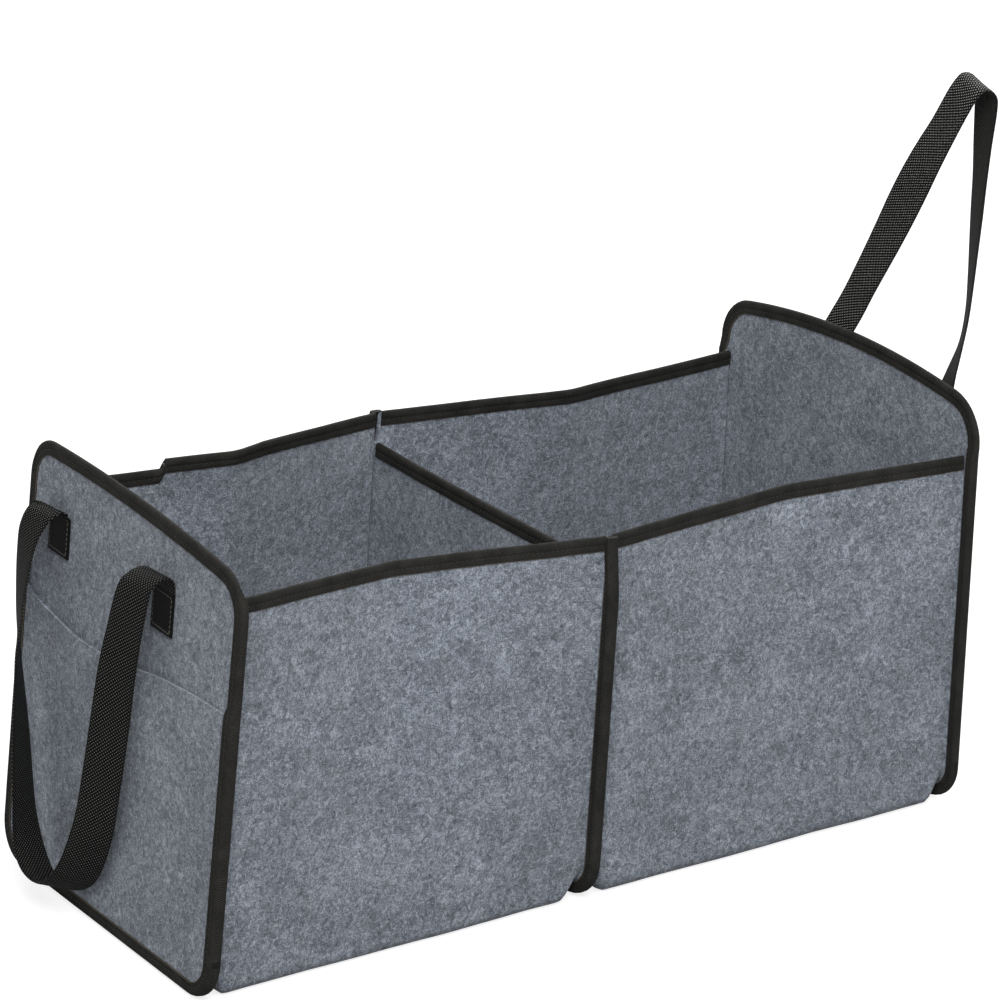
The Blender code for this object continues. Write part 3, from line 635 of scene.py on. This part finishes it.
def panel_grid(seam, layer, top, rows, bulge=None, strength=1.0, inset=0.0):
    grid = []
    narrow = 1.0 - inset / PANEL_HALF
    for share in rows:
        line = []
        for y in panel_columns():
            low = panel_bottom(y) + inset
            z = low + (top(y) - low) * share
            out = bulge(y, share) if bulge else 0.0
            wave = panel_wave(seam, y, z, strength)
            line.append(seam.point(seam.panel_y(y, z) * narrow, z, layer - out + wave))
        grid.append(line)
    return np.array(grid)


def divider_top(y):
    return MIDDLE_SEAM.top - DIVIDER_BELOW_WALL - DIVIDER_SAG * (1 - (y / PANEL_HALF) ** 2)


def pocket_top(y):
    return float(np.interp(y, POCKET_MOUTH_Y, POCKET_MOUTH_Z))


def pocket_bulge(y, share):
    edge = (PANEL_HALF - TAPE_ON_PANEL - abs(y)) / (PANEL_HALF / 2)
    around = math.exp(-((y - POCKET_BULGE_CENTRE) / POCKET_BULGE_SPREAD) ** 2)
    return POCKET_MOUTH_BULGE * share ** 3 * smooth_step(edge) * around


def outline(grid):
    return np.vstack([grid[0], grid[1:, -1], grid[-1, -2::-1], grid[-2:0:-1, 0]])


def even_run(points, spacing, closed=False):
    """The same run with points about this far apart."""
    points = np.array(points)
    if closed:
        points = np.vstack([points, points[:1]])
    steps = np.linalg.norm(np.diff(points, axis=0), axis=1)
    run = np.concatenate([[0.0], np.cumsum(steps)])
    count = max(2, int(round(run[-1] / spacing)))
    marks = np.linspace(0.0, run[-1], count + 1)
    even = np.stack([np.interp(marks, run, points[:, k]) for k in range(3)], axis=1)
    return even[:-1] if closed else even


def end_rings(seam, grid, inward, has_pocket):
    edge = even_run(outline(grid), RING_SPACING, closed=True)
    along, mitre = run_directions(edge, closed=True)
    normal = seam.normal()
    rings = []
    for point, direction, longer in zip(edge, along, mitre):
        outward = np.cross(direction, normal) * longer
        height = point[2] - seam.rise(point[1], point[2])
        wall = 1.0 - smooth_step((height - seam.top - 0.001) / 0.006)
        pocket = 1.0 - smooth_step((height - POCKET_SIDE_HEIGHT - 0.001) / 0.006) if has_pocket else 0.0
        low = -CHANNEL - LAYER * pocket
        high = CHANNEL + LAYER * wall
        short = FIN - seam.fin(height)
        inner_leg = (TAPE_ON_FIN - short) * wall + TAPE_ON_PANEL * (1.0 - wall)
        inner_leg = max(inner_leg, SHORTEST_PANEL_LEG)
        rings.append((point, normal * inward, outward, low, high, TAPE_ON_PANEL, inner_leg))
    return rings


def middle_rings():
    tips = [fin_tip(row, MIDDLE_SEAM) for row in u_rows()]
    run = even_run([MIDDLE_SEAM.point(y, z) for y, z in tips], RING_SPACING)
    along, mitre = run_directions(run)
    across = MIDDLE_SEAM.normal()
    reach = CHANNEL + LAYER
    rings = []
    for point, direction, longer in zip(run, along, mitre):
        outward = np.cross(direction, across) * longer
        height = point[2] - MIDDLE_SEAM.rise(point[1], point[2])
        leg = max(TAPE_ON_FIN - (FIN - MIDDLE_SEAM.fin(height)), SHORTEST_MIDDLE_LEG)
        rings.append((point, across, outward, -reach, reach, leg, leg))
    return rings


def top_rings(edge, below):
    along, mitre = run_directions(edge)
    rings = []
    for point, foot, direction, longer in zip(edge, below, along, mitre):
        up = (point - foot) / np.linalg.norm(point - foot)
        across = np.cross(direction, up)
        across *= longer / np.linalg.norm(across)
        rings.append((point, across, up, -CHANNEL, CHANNEL, TAPE_ON_TOP, TAPE_ON_TOP))
    return rings


def wall_rings(side, low, high, half):
    top, below = (0.0, 0.05) if side == "front" else (1.0, 0.95)
    turns = [fin_line((side, place), seam, way)[-2:] for place in (top, below)
             for seam, way in ((half[0], 1), (half[1], -1))]
    shares = [low] + [s for s in body_shares(half[-1]) if low + 0.003 < s < high - 0.003] + [high]
    edge = [body_point((side, top), s, half) for s in shares]
    feet = [body_point((side, below), s, half) for s in shares]
    if low == 0.0:
        edge, feet = turns[0] + edge, turns[2] + feet
    if high == 1.0:
        edge, feet = edge + turns[1][::-1], feet + turns[3][::-1]
    return top_rings(np.array(edge), np.array(feet))


def divider_rings():
    limit = HALF_DEPTH - FELT / 2 - 0.0006
    columns = [-limit] + [y for y in panel_columns() if abs(y) < limit - 0.003] + [limit]
    def place(y, z):
        return MIDDLE_SEAM.point(y, z, panel_wave(MIDDLE_SEAM, y, z, 0.8))
    edge = np.array([place(y, divider_top(y)) for y in columns])
    feet = np.array([place(y, divider_top(y) - TAPE_ON_TOP) for y in columns])
    return top_rings(edge, feet)


# Handles
def smooth_run(points, steps):
    points = np.array(points, dtype=float)
    ends = np.vstack([2 * points[0] - points[1], points, 2 * points[-1] - points[-2]])
    run = []
    for k in range(len(points) - 1):
        a, b, c, d = ends[k:k + 4]
        for step in range(steps):
            t = step / steps
            run.append(0.5 * (2 * b + (c - a) * t + (2 * a - 5 * b + 4 * c - d) * t * t
                              + (3 * b - a - 3 * c + d) * t ** 3))
    run.append(points[-1])
    return np.array(run)


def make_handle(name, seam, side, loop, face_material, back_material, stitch_paths):
    """Webbing from tab to tab through a loop of (place, width direction). Also gives its length."""
    off_panel = side * (FELT / 2 + GAP + WEBBING / 2)
    near, far = TABS_FROM_MIDDLE
    flat = seam.point(1.0, TAB_HIGH) - seam.point(0.0, TAB_HIGH)
    at_first, at_last = [flat * math.copysign(1.0, width[1]) for _, width in (loop[0], loop[-1])]
    heights = [TAB_LOW, TAB_LOW + 0.0006, (TAB_LOW + TAB_HIGH) / 2, TAB_HIGH]
    first = [(seam.point(side * near, z, off_panel), at_first) for z in heights]
    last = [(seam.point(-side * far, z, off_panel), at_last) for z in reversed(heights)]
    free = [first[-1]] + loop + [last[0]]
    run, widths = [np.vstack([[pair[k] for pair in first[:-1]], smooth_run([pair[k] for pair in free], 5),
                              [pair[k] for pair in last[1:]]]) for k in (0, 1)]
    along = run_directions(run)[0]
    across = np.linspace(-1.0, 1.0, 13)
    points, uvs, lengths = [], [], [0.0]
    for a, b in zip(run[:-1], run[1:]):
        lengths.append(lengths[-1] + float(np.linalg.norm(b - a)))
    total = lengths[-1]
    for k, (point, direction, width) in enumerate(zip(run, along, widths)):
        width = width - direction * np.dot(width, direction)
        width /= np.linalg.norm(width)
        face = np.cross(direction, width)
        face /= np.linalg.norm(face)
        from_end = min(lengths[k], total - lengths[k])
        loose = smooth_step((from_end - 0.028) / 0.05)
        cup = 0.0005 * loose * ripple(*point, 0.12, 21)
        for sign in (1.0, -1.0):
            for a in (across if sign > 0 else across[::-1]):
                edge = max(0.0, abs(a) - 0.86) / 0.14
                thick = WEBBING / 2 * (1.0 - 0.55 * edge ** 2 + 0.06 * (abs(a) > 0.7) * (1 - edge))
                bend = cup * (a * a - 0.4)
                points.append(point + width * (a * WEBBING_WIDTH / 2) + face * (sign * thick + bend))
                uvs.append((lengths[k], a * WEBBING_WIDTH / 2))
    around = 2 * len(across)
    faces, indices = [], []
    for k in range(len(run) - 1):
        for corner in range(around):
            following = (corner + 1) % around
            faces.append((k * around + corner, k * around + following,
                          (k + 1) * around + following, (k + 1) * around + corner))
            on_tab = min(lengths[k + 1], total - lengths[k]) < TAB_HIGH - TAB_LOW + 0.003
            indices.append(2 if on_tab else 0 if corner < len(across) else 1)
    end = (len(run) - 1) * around
    for corner in range(len(across) - 1):
        cap = (corner, corner + 1, around - 2 - corner, around - 1 - corner)
        faces.append(tuple(reversed(cap)))
        faces.append(tuple(end + c for c in cap))
        indices += [0, 0]
    piece = add_mesh(name, points, faces, [face_material, back_material, tab_black], uvs, indices)
    outward = seam.normal() * side
    lift = side * (FELT / 2 + GAP + WEBBING * 0.98)
    high, low = TAB_HIGH - 0.0010, TAB_LOW + TAB_STITCH_INSET
    for middle in (side * near, -side * far):
        left = middle - WEBBING_WIDTH / 2 + TAB_STITCH_INSET
        right = middle + WEBBING_WIDTH / 2 - TAB_STITCH_INSET
        corners = [(left, high), (left, low), (right, low), (right, high), (left, high)]
        path = []
        for (y0, z0), (y1, z1) in zip(corners[:-1], corners[1:]):
            path += [seam.point(y0 + (y1 - y0) * f, z0 + (z1 - z0) * f, lift)
                     for f in (0.0, 0.33, 0.66)]
        path.append(seam.point(*corners[-1], lift))
        stitch_paths.append((np.array(path), np.array([outward] * len(path))))
    return piece, total


# Materials
class Nodes:
    """Short calls for wiring a material."""

    def __init__(self, name):
        self.material = bpy.data.materials.new(name)
        self.material.use_nodes = True
        self.tree = self.material.node_tree
        self.shader = self.tree.nodes["Principled BSDF"]
        self.coords = self.tree.nodes.new("ShaderNodeTexCoord")

    def link(self, source, target):
        if isinstance(source, (int, float, tuple)):
            target.default_value = source
        else:
            self.tree.links.new(source, target)

    def new(self, kind, **inputs):
        node = self.tree.nodes.new("ShaderNode" + kind)
        for name, value in inputs.items():
            self.link(value, node.inputs[name])
        return node

    def place(self, scale=(1, 1, 1), turn=(0, 0, 0), uv=False):
        vector = self.coords.outputs["UV" if uv else "Object"]
        return self.new("Mapping", Scale=scale, Rotation=turn, Vector=vector).outputs["Vector"]

    def noise(self, vector, scale, detail=3.0, rough=0.55, distort=0.0):
        return self.new("TexNoise", Scale=scale, Detail=detail, Roughness=rough, Distortion=distort,
                        Vector=vector).outputs["Fac"]

    def math(self, operation, a, b=0.0, c=0.0):
        node = self.new("Math")
        node.operation = operation
        for value, socket in zip((a, b, c), node.inputs):
            self.link(value, socket)
        return node.outputs[0]

    def wave(self, value, period):
        return self.math("COSINE", self.math("MULTIPLY", value, 2 * math.pi / period))

    def split(self, vector):
        return self.new("SeparateXYZ", Vector=vector).outputs

    def ramp(self, value, stops):
        node = self.new("ValToRGB", Fac=value)
        points = node.color_ramp.elements
        while len(points) < len(stops):
            points.new(0.5)
        for point, (place, colour) in zip(points, stops):
            point.position = place
            point.color = (*colour, 1.0) if isinstance(colour, tuple) else (colour, colour, colour, 1.0)
        return node.outputs["Color"]

    def mix(self, share, a, b):
        node = self.new("Mix")
        node.data_type = "RGBA"
        self.link(share, node.inputs[0])
        for colour, socket in ((a, node.inputs[6]), (b, node.inputs[7])):
            self.link((*colour, 1.0) if isinstance(colour, tuple) else colour, socket)
        return node.outputs[2]

    def bump(self, height, distance, strength):
        return self.new("Bump", Distance=distance, Strength=strength, Height=height).outputs["Normal"]

    def finish(self, colour, roughness, normal, sheen=0.0, sheen_roughness=0.5, specular=0.5):
        self.link(colour, self.shader.inputs["Base Color"])
        self.link(roughness, self.shader.inputs["Roughness"])
        self.link(normal, self.shader.inputs["Normal"])
        self.shader.inputs["Sheen Weight"].default_value = sheen
        self.shader.inputs["Sheen Roughness"].default_value = sheen_roughness
        self.shader.inputs["Specular IOR Level"].default_value = specular
        return self.material


def felt_material():
    """Blue-grey melange felt: light and dark fibres pressed flat, in clouds a few millimetres wide."""
    n = Nodes("felt")
    plain = n.place()
    clouds = n.noise(plain, 26.0, 3.0, 0.55, 0.4)
    tufts = n.noise(plain, 225.0, 4.0, 0.66, 1.1)
    grains = n.noise(plain, 1050.0, 3.0, 0.7, 0.8)
    streaks = []
    for turn, scale in (((0.3, 0.5, 0.6), (420, 2300, 2300)), ((0.9, -0.6, 2.2), (2300, 420, 2300)),
                        ((-0.7, 1.1, 1.2), (2300, 2300, 420))):
        streaks.append(n.noise(n.place(scale, turn), 1.0, 2.0, 0.5, 0.5))
    fibres = n.math("MAXIMUM", n.math("MAXIMUM", streaks[0], streaks[1]), streaks[2])
    dark_fibres = n.math("MINIMUM", n.math("MINIMUM", streaks[0], streaks[1]), streaks[2])
    tone = n.math("MULTIPLY_ADD", clouds, 0.20, -0.10)
    tone = n.math("MULTIPLY_ADD", tufts, 0.74, tone)
    tone = n.math("MULTIPLY_ADD", grains, 0.62, tone)
    tone = n.math("MULTIPLY_ADD", fibres, 0.72, tone)
    tone = n.math("MULTIPLY_ADD", dark_fibres, 0.62, tone)
    tone = n.math("ADD", tone, -0.84)
    colour = n.ramp(tone, [(0.26, (0.036, 0.042, 0.052)), (0.42, (0.106, 0.121, 0.145)),
                           (0.56, (0.183, 0.207, 0.245)), (0.74, (0.390, 0.430, 0.490))])
    warm = n.ramp(n.noise(plain, 75.0, 3.0, 0.6, 0.6), [(0.58, 0.0), (0.76, 0.20)])
    colour = n.mix(warm, colour, (0.150, 0.152, 0.138))
    height = n.math("MULTIPLY_ADD", fibres, 0.6, n.math("MULTIPLY", grains, 0.5))
    height = n.math("MULTIPLY_ADD", tufts, 0.6, height)
    normal = n.bump(height, 0.0011, 0.75)
    return n.finish(colour, 0.96, normal, sheen=0.16, sheen_roughness=0.55, specular=0.12)


def tape_material():
    """Black twill tape: fine slanted ribs and a brownish thread along its free edge."""
    n = Nodes("tape")
    u, v = n.split(n.place(uv=True))[:2]
    slant = n.math("ADD", n.math("MULTIPLY", u, 4600.0), n.math("MULTIPLY", v, 3700.0))
    rib = n.math("MULTIPLY_ADD", n.math("SINE", slant), 0.5, 0.5)
    thread = n.math("MULTIPLY_ADD", n.math("SINE", n.math("MULTIPLY", v, 10500.0)), 0.5, 0.5)
    dust = n.noise(n.place(), 90.0, 4.0, 0.6, 0.5)
    fine = n.noise(n.place(), 900.0, 2.0, 0.6, 0.0)
    tone = n.math("MULTIPLY_ADD", rib, 0.42, n.math("MULTIPLY", dust, 0.40))
    tone = n.math("MULTIPLY_ADD", fine, 0.34, tone)
    colour = n.ramp(tone, [(0.26, (0.0010, 0.0010, 0.0009)), (0.54, (0.0060, 0.0060, 0.0054)),
                           (0.84, (0.0400, 0.0385, 0.0335))])
    rim = n.math("LESS_THAN", n.math("ABSOLUTE", n.math("SUBTRACT", v, 0.00022)), 0.00034)
    rim = n.math("MULTIPLY", rim, n.math("MULTIPLY_ADD", fine, 0.8, 0.15))
    colour = n.mix(rim, colour, (0.125, 0.102, 0.068))
    height = n.math("MULTIPLY_ADD", rib, 0.7, n.math("MULTIPLY", thread, 0.25))
    height = n.math("MULTIPLY_ADD", fine, 0.35, height)
    normal = n.bump(height, 0.00022, 0.9)
    return n.finish(colour, 0.80, normal, specular=0.20)


def webbing_material(name, basket, light=1.0, glint_gain=1.0):
    """Black woven webbing: a basket weave with painted glints on its yarn crowns, or the smoother ribbed
    side.

    glint_gain brightens the ramp, above all the painted crown glints, and light below 1 darkens the whole.
    """
    n = Nodes(name)
    u, v = n.split(n.place(uv=True))[:2]
    fine = n.noise(n.place(), 1500.0, 2.0, 0.6, 0.0)
    broad = n.noise(n.place(), 60.0, 3.0, 0.55, 0.0)
    selvedge = n.math("GREATER_THAN", n.math("ABSOLUTE", v), 0.0113)
    if basket:
        along = n.wave(u, 0.00240)
        across = n.wave(v, 0.00225)
        crown = n.math("MULTIPLY_ADD", n.math("MULTIPLY", along, across), 0.5, 0.5)
        crown = n.math("POWER", crown, 2.6)
        tone = n.math("MULTIPLY_ADD", crown, 0.80, n.math("MULTIPLY", fine, 0.22))
        # the bright stops paint glints on the yarn crowns
        stops = [(0.20, (0.0003, 0.0003, 0.0003)), (0.48, (0.0022, 0.0023, 0.0021)),
                 (0.72, (0.0450, 0.0465, 0.0430)), (1.0, (0.1700, 0.1740, 0.1620))]
        depth = 0.00030
    else:
        rib = n.math("MULTIPLY_ADD", n.wave(u, 0.00120), 0.5, 0.5)
        yarn = n.math("MULTIPLY_ADD", n.wave(v, 0.00090), 0.5, 0.5)
        crown = n.math("MULTIPLY_ADD", rib, 0.7, n.math("MULTIPLY", yarn, 0.3))
        tone = n.math("MULTIPLY_ADD", crown, 0.45, n.math("MULTIPLY", fine, 0.30))
        stops = [(0.10, (0.0020, 0.0020, 0.0020)), (0.42, (0.0090, 0.0090, 0.0084)),
                 (0.72, (0.0420, 0.0420, 0.0390))]
        depth = 0.00016
    colour = n.ramp(tone, [(place, tuple(glint_gain * part for part in shade)) for place, shade in stops])
    colour = n.mix(n.math("MULTIPLY", selvedge, 0.5), colour, (0.004, 0.004, 0.004))
    haze = n.math("MULTIPLY", n.math("MULTIPLY_ADD", broad, 1.0, -0.35), 0.25)
    colour = n.mix(haze, colour, (0.008, 0.008, 0.007))
    colour = n.mix(1.0 - light, colour, (0.0005, 0.0005, 0.0005))
    height = n.math("MULTIPLY_ADD", fine, 0.25, crown)
    normal = n.bump(height, depth, 1.0)
    return n.finish(colour, 0.62, normal, specular=0.10)


def thread_material(name, light):
    """Twisted thread of this brightness."""
    n = Nodes(name)
    twist = n.noise(n.place(), 2600.0, 2.0, 0.5, 0.0)
    colour = n.ramp(twist, [(0.3, (light * 0.3,) * 3), (0.7, (light, light, light * 0.9))])
    return n.finish(colour, 0.5, n.bump(twist, 0.0001, 0.8), sheen=0.1, specular=0.4)


# Pieces of the bag
felt = felt_material()
tape_black = tape_material()
basket = webbing_material("webbing_basket", True, 1.0, 1.9)
# brighter copy of the basket weave for the far strap's face: painted light, as it is lit from above and in
# front
lit_basket = webbing_material("webbing_basket_lit", True, 1.0, 5.4)
ribbed = webbing_material("webbing_ribbed", False, 1.0, 1.9)
tab_black = webbing_material("webbing_tab", False, 0.45)
thread = thread_material("thread", 0.016)
tab_thread = thread_material("tab_thread", 0.12)

left_half = (LEFT_SEAM, MIDDLE_SEAM, CREASE_IN_FRONT_LEFT, CREASE_IN_BACK_LEFT, CREASES_AT_LEFT, True)
right_half = (MIDDLE_SEAM, RIGHT_SEAM, CREASE_IN_FRONT_RIGHT, CREASE_IN_BACK_RIGHT, CREASES_AT_RIGHT,
              False)
even_rows = list(np.linspace(0.0, 1.0, 56))
left_grid = panel_grid(LEFT_SEAM, 0.0, LEFT_SEAM.end_top, even_rows)
right_grid = panel_grid(RIGHT_SEAM, 0.0, RIGHT_SEAM.end_top, even_rows)
pocket_grid = panel_grid(LEFT_SEAM, -LAYER, pocket_top, list(np.linspace(0.0, 1.0, 40)), pocket_bulge,
                         inset=LAYER_INSET)
divider_grid = panel_grid(MIDDLE_SEAM, 0.0, divider_top, list(np.linspace(0.0, 1.0, 44)), None, 0.8)

left_panel = felt_sheet("left_end_felt", left_grid, felt)
right_panel = felt_sheet("right_end_felt", right_grid, felt)
pocket = felt_sheet("left_pocket_felt", pocket_grid, felt)
divider = felt_sheet("divider_felt", divider_grid, felt)
left_body = make_body("left_compartment_felt", left_half, felt)
right_body = make_body("right_compartment_felt", right_half, felt)

seam_paths = []
left_tape = tape("left_end_tape", end_rings(LEFT_SEAM, left_grid, 1.0, True), True, tape_black,
                 seam_paths)
right_tape = tape("right_end_tape", end_rings(RIGHT_SEAM, right_grid, -1.0, False), True, tape_black,
                  seam_paths)
middle_tape = tape("middle_seam_tape", middle_rings(), False, tape_black, seam_paths, lids=True)
step_middle = sum(step_shares()) / 2
for edge, side, low, high, half in (
        ("front_left_top", "front", 0.0, 1.0, left_half),
        ("front_right_top", "front", 0.0, 1.0, right_half),
        ("back_left_low", "back", 0.0, step_middle, left_half),
        ("back_left_top", "back", step_middle + TAPE_STEP_OFFSET, 1.0, left_half),
        ("back_right_top", "back", 0.0, 1.0, right_half)):
    rings = wall_rings(side, low, high, half)
    tape(edge + "_tape", rings, False, tape_black, seam_paths)
    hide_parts(edge + "_binding")
divider_tape = tape("divider_top_tape", divider_rings(), False, tape_black, seam_paths)
seam_stitches = stitches("tape_stitches", seam_paths, thread)

tab_paths_left, tab_paths_right = [], []
left_strap, left_length = make_handle("left_handle_webbing", LEFT_SEAM, -1, LEFT_HANDLE,
                                      basket, basket, tab_paths_left)
right_strap, right_length = make_handle("right_handle_webbing", RIGHT_SEAM, 1, RIGHT_HANDLE,
                                        lit_basket, ribbed, tab_paths_right)
left_tab_stitches = stitches("left_tab_stitches", tab_paths_left, tab_thread, *TAB_STITCHES)
right_tab_stitches = stitches("right_tab_stitches", tab_paths_right, tab_thread, *TAB_STITCHES)

for piece, node in ((left_panel, "left_end_panel"), (right_panel, "right_end_panel"),
                    (pocket, "left_end_pocket"), (divider, "divider_panel"),
                    (left_body, "left_body_felt"), (right_body, "right_body_felt"),
                    (left_tape, "left_end_binding"), (right_tape, "right_end_binding"),
                    (middle_tape, "middle_seam_binding"), (divider_tape, "divider_top_binding"),
                    (left_strap, "left_handle"), (right_strap, "right_handle")):
    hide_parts(node)

# Floor, light and camera
FLOOR_REACH, FLOOR_Z = 9, -0.0004
FLOOR_GREY, FLOOR_GLOW, SKY_LIGHT = 0.36, 0.80, 0.36
floor_mesh = bpy.data.meshes.new("floor")
floor_mesh.from_pydata([(x * FLOOR_REACH, y * FLOOR_REACH, FLOOR_Z)
                        for x, y in ((-1, -1), (1, -1), (1, 1), (-1, 1))], [], [(0, 1, 2, 3)])
floor = bpy.data.objects.new("floor", floor_mesh)
bpy.context.scene.collection.objects.link(floor)
paint = bpy.data.materials.new("floor")
paint.use_nodes = True
tree = paint.node_tree
tree.nodes.clear()
output, add, diffuse, glow, path, seen = [
    tree.nodes.new("ShaderNode" + kind)
    for kind in ("OutputMaterial", "AddShader", "BsdfDiffuse", "Emission", "LightPath", "Math")]
diffuse.inputs["Color"].default_value = (FLOOR_GREY, FLOOR_GREY, FLOOR_GREY, 1.0)
seen.operation = "MULTIPLY"
tree.links.new(path.outputs["Is Camera Ray"], seen.inputs[0])
seen.inputs[1].default_value = FLOOR_GLOW
tree.links.new(seen.outputs[0], glow.inputs["Strength"])
tree.links.new(diffuse.outputs[0], add.inputs[0])
tree.links.new(glow.outputs[0], add.inputs[1])
tree.links.new(add.outputs[0], output.inputs["Surface"])
floor_mesh.materials.append(paint)

world = bpy.data.worlds.new("studio")
bpy.context.scene.world = world
world.use_nodes = True
tree = world.node_tree
back = tree.nodes["Background"]
path = tree.nodes.new("ShaderNodeLightPath")
strength = tree.nodes.new("ShaderNodeMix")
strength.data_type = "FLOAT"
tree.links.new(path.outputs["Is Camera Ray"], strength.inputs[0])
strength.inputs[2].default_value = SKY_LIGHT
strength.inputs[3].default_value = 1.0
tree.links.new(strength.outputs[0], back.inputs["Strength"])
back.inputs["Color"].default_value = (1.0, 1.0, 1.0, 1.0)

LAMP_SIZE, LAMP_TARGET = 2.4, (0, 0, 0.15)


def lamp(name, place, power):
    """A wide soft lamp that faces the middle of the bag."""
    light = bpy.data.lights.new(name, "AREA")
    light.energy = power
    light.shape = "SQUARE"
    light.size = LAMP_SIZE
    holder = bpy.data.objects.new(name, light)
    holder.location = place
    holder.rotation_euler = (Vector(LAMP_TARGET) - Vector(place)).to_track_quat("-Z", "Y").to_euler()
    bpy.context.scene.collection.objects.link(holder)


lamp("key", (-1.4, -2.3, 3.1), 184)
lamp("fill", (1.7, 2.4, 2.6), 120)

# Camera fitted to the photograph: angles, distance, focal length and aim in its pixels
AZIMUTH, ELEVATION, ROLL = math.radians(37.375), math.radians(19.855), math.radians(1.993)
DISTANCE, FOCAL, AIM, LOOKED_AT_Z = 3.550, 5871.95, (488.79, 646.93), 0.12
FRAME, SENSOR = 1000, 36
forward = np.array([math.sin(AZIMUTH) * math.cos(ELEVATION), math.cos(AZIMUTH) * math.cos(ELEVATION),
                    -math.sin(ELEVATION)])
right = np.array([math.cos(AZIMUTH), -math.sin(AZIMUTH), 0.0])
up = np.cross(right, forward)
side = math.cos(ROLL) * right + math.sin(ROLL) * up
top = -math.sin(ROLL) * right + math.cos(ROLL) * up
place = np.array([BAG_CENTRE_X, 0.0, LOOKED_AT_Z]) - DISTANCE * (
    (AIM[0] - FRAME / 2) / FOCAL * side - (AIM[1] - FRAME / 2) / FOCAL * top + forward)
camera_data = bpy.data.cameras.new("camera")
camera_data.lens = FOCAL / FRAME * SENSOR
camera_data.sensor_width = SENSOR
camera_data.clip_end = 60
camera = bpy.data.objects.new("camera", camera_data)
camera.matrix_world = Matrix([(side[k], top[k], -forward[k], place[k]) for k in range(3)] + [(0, 0, 0, 1)])
bpy.context.scene.collection.objects.link(camera)
bpy.context.scene.camera = camera
bpy.context.scene.view_settings.view_transform = "Standard"
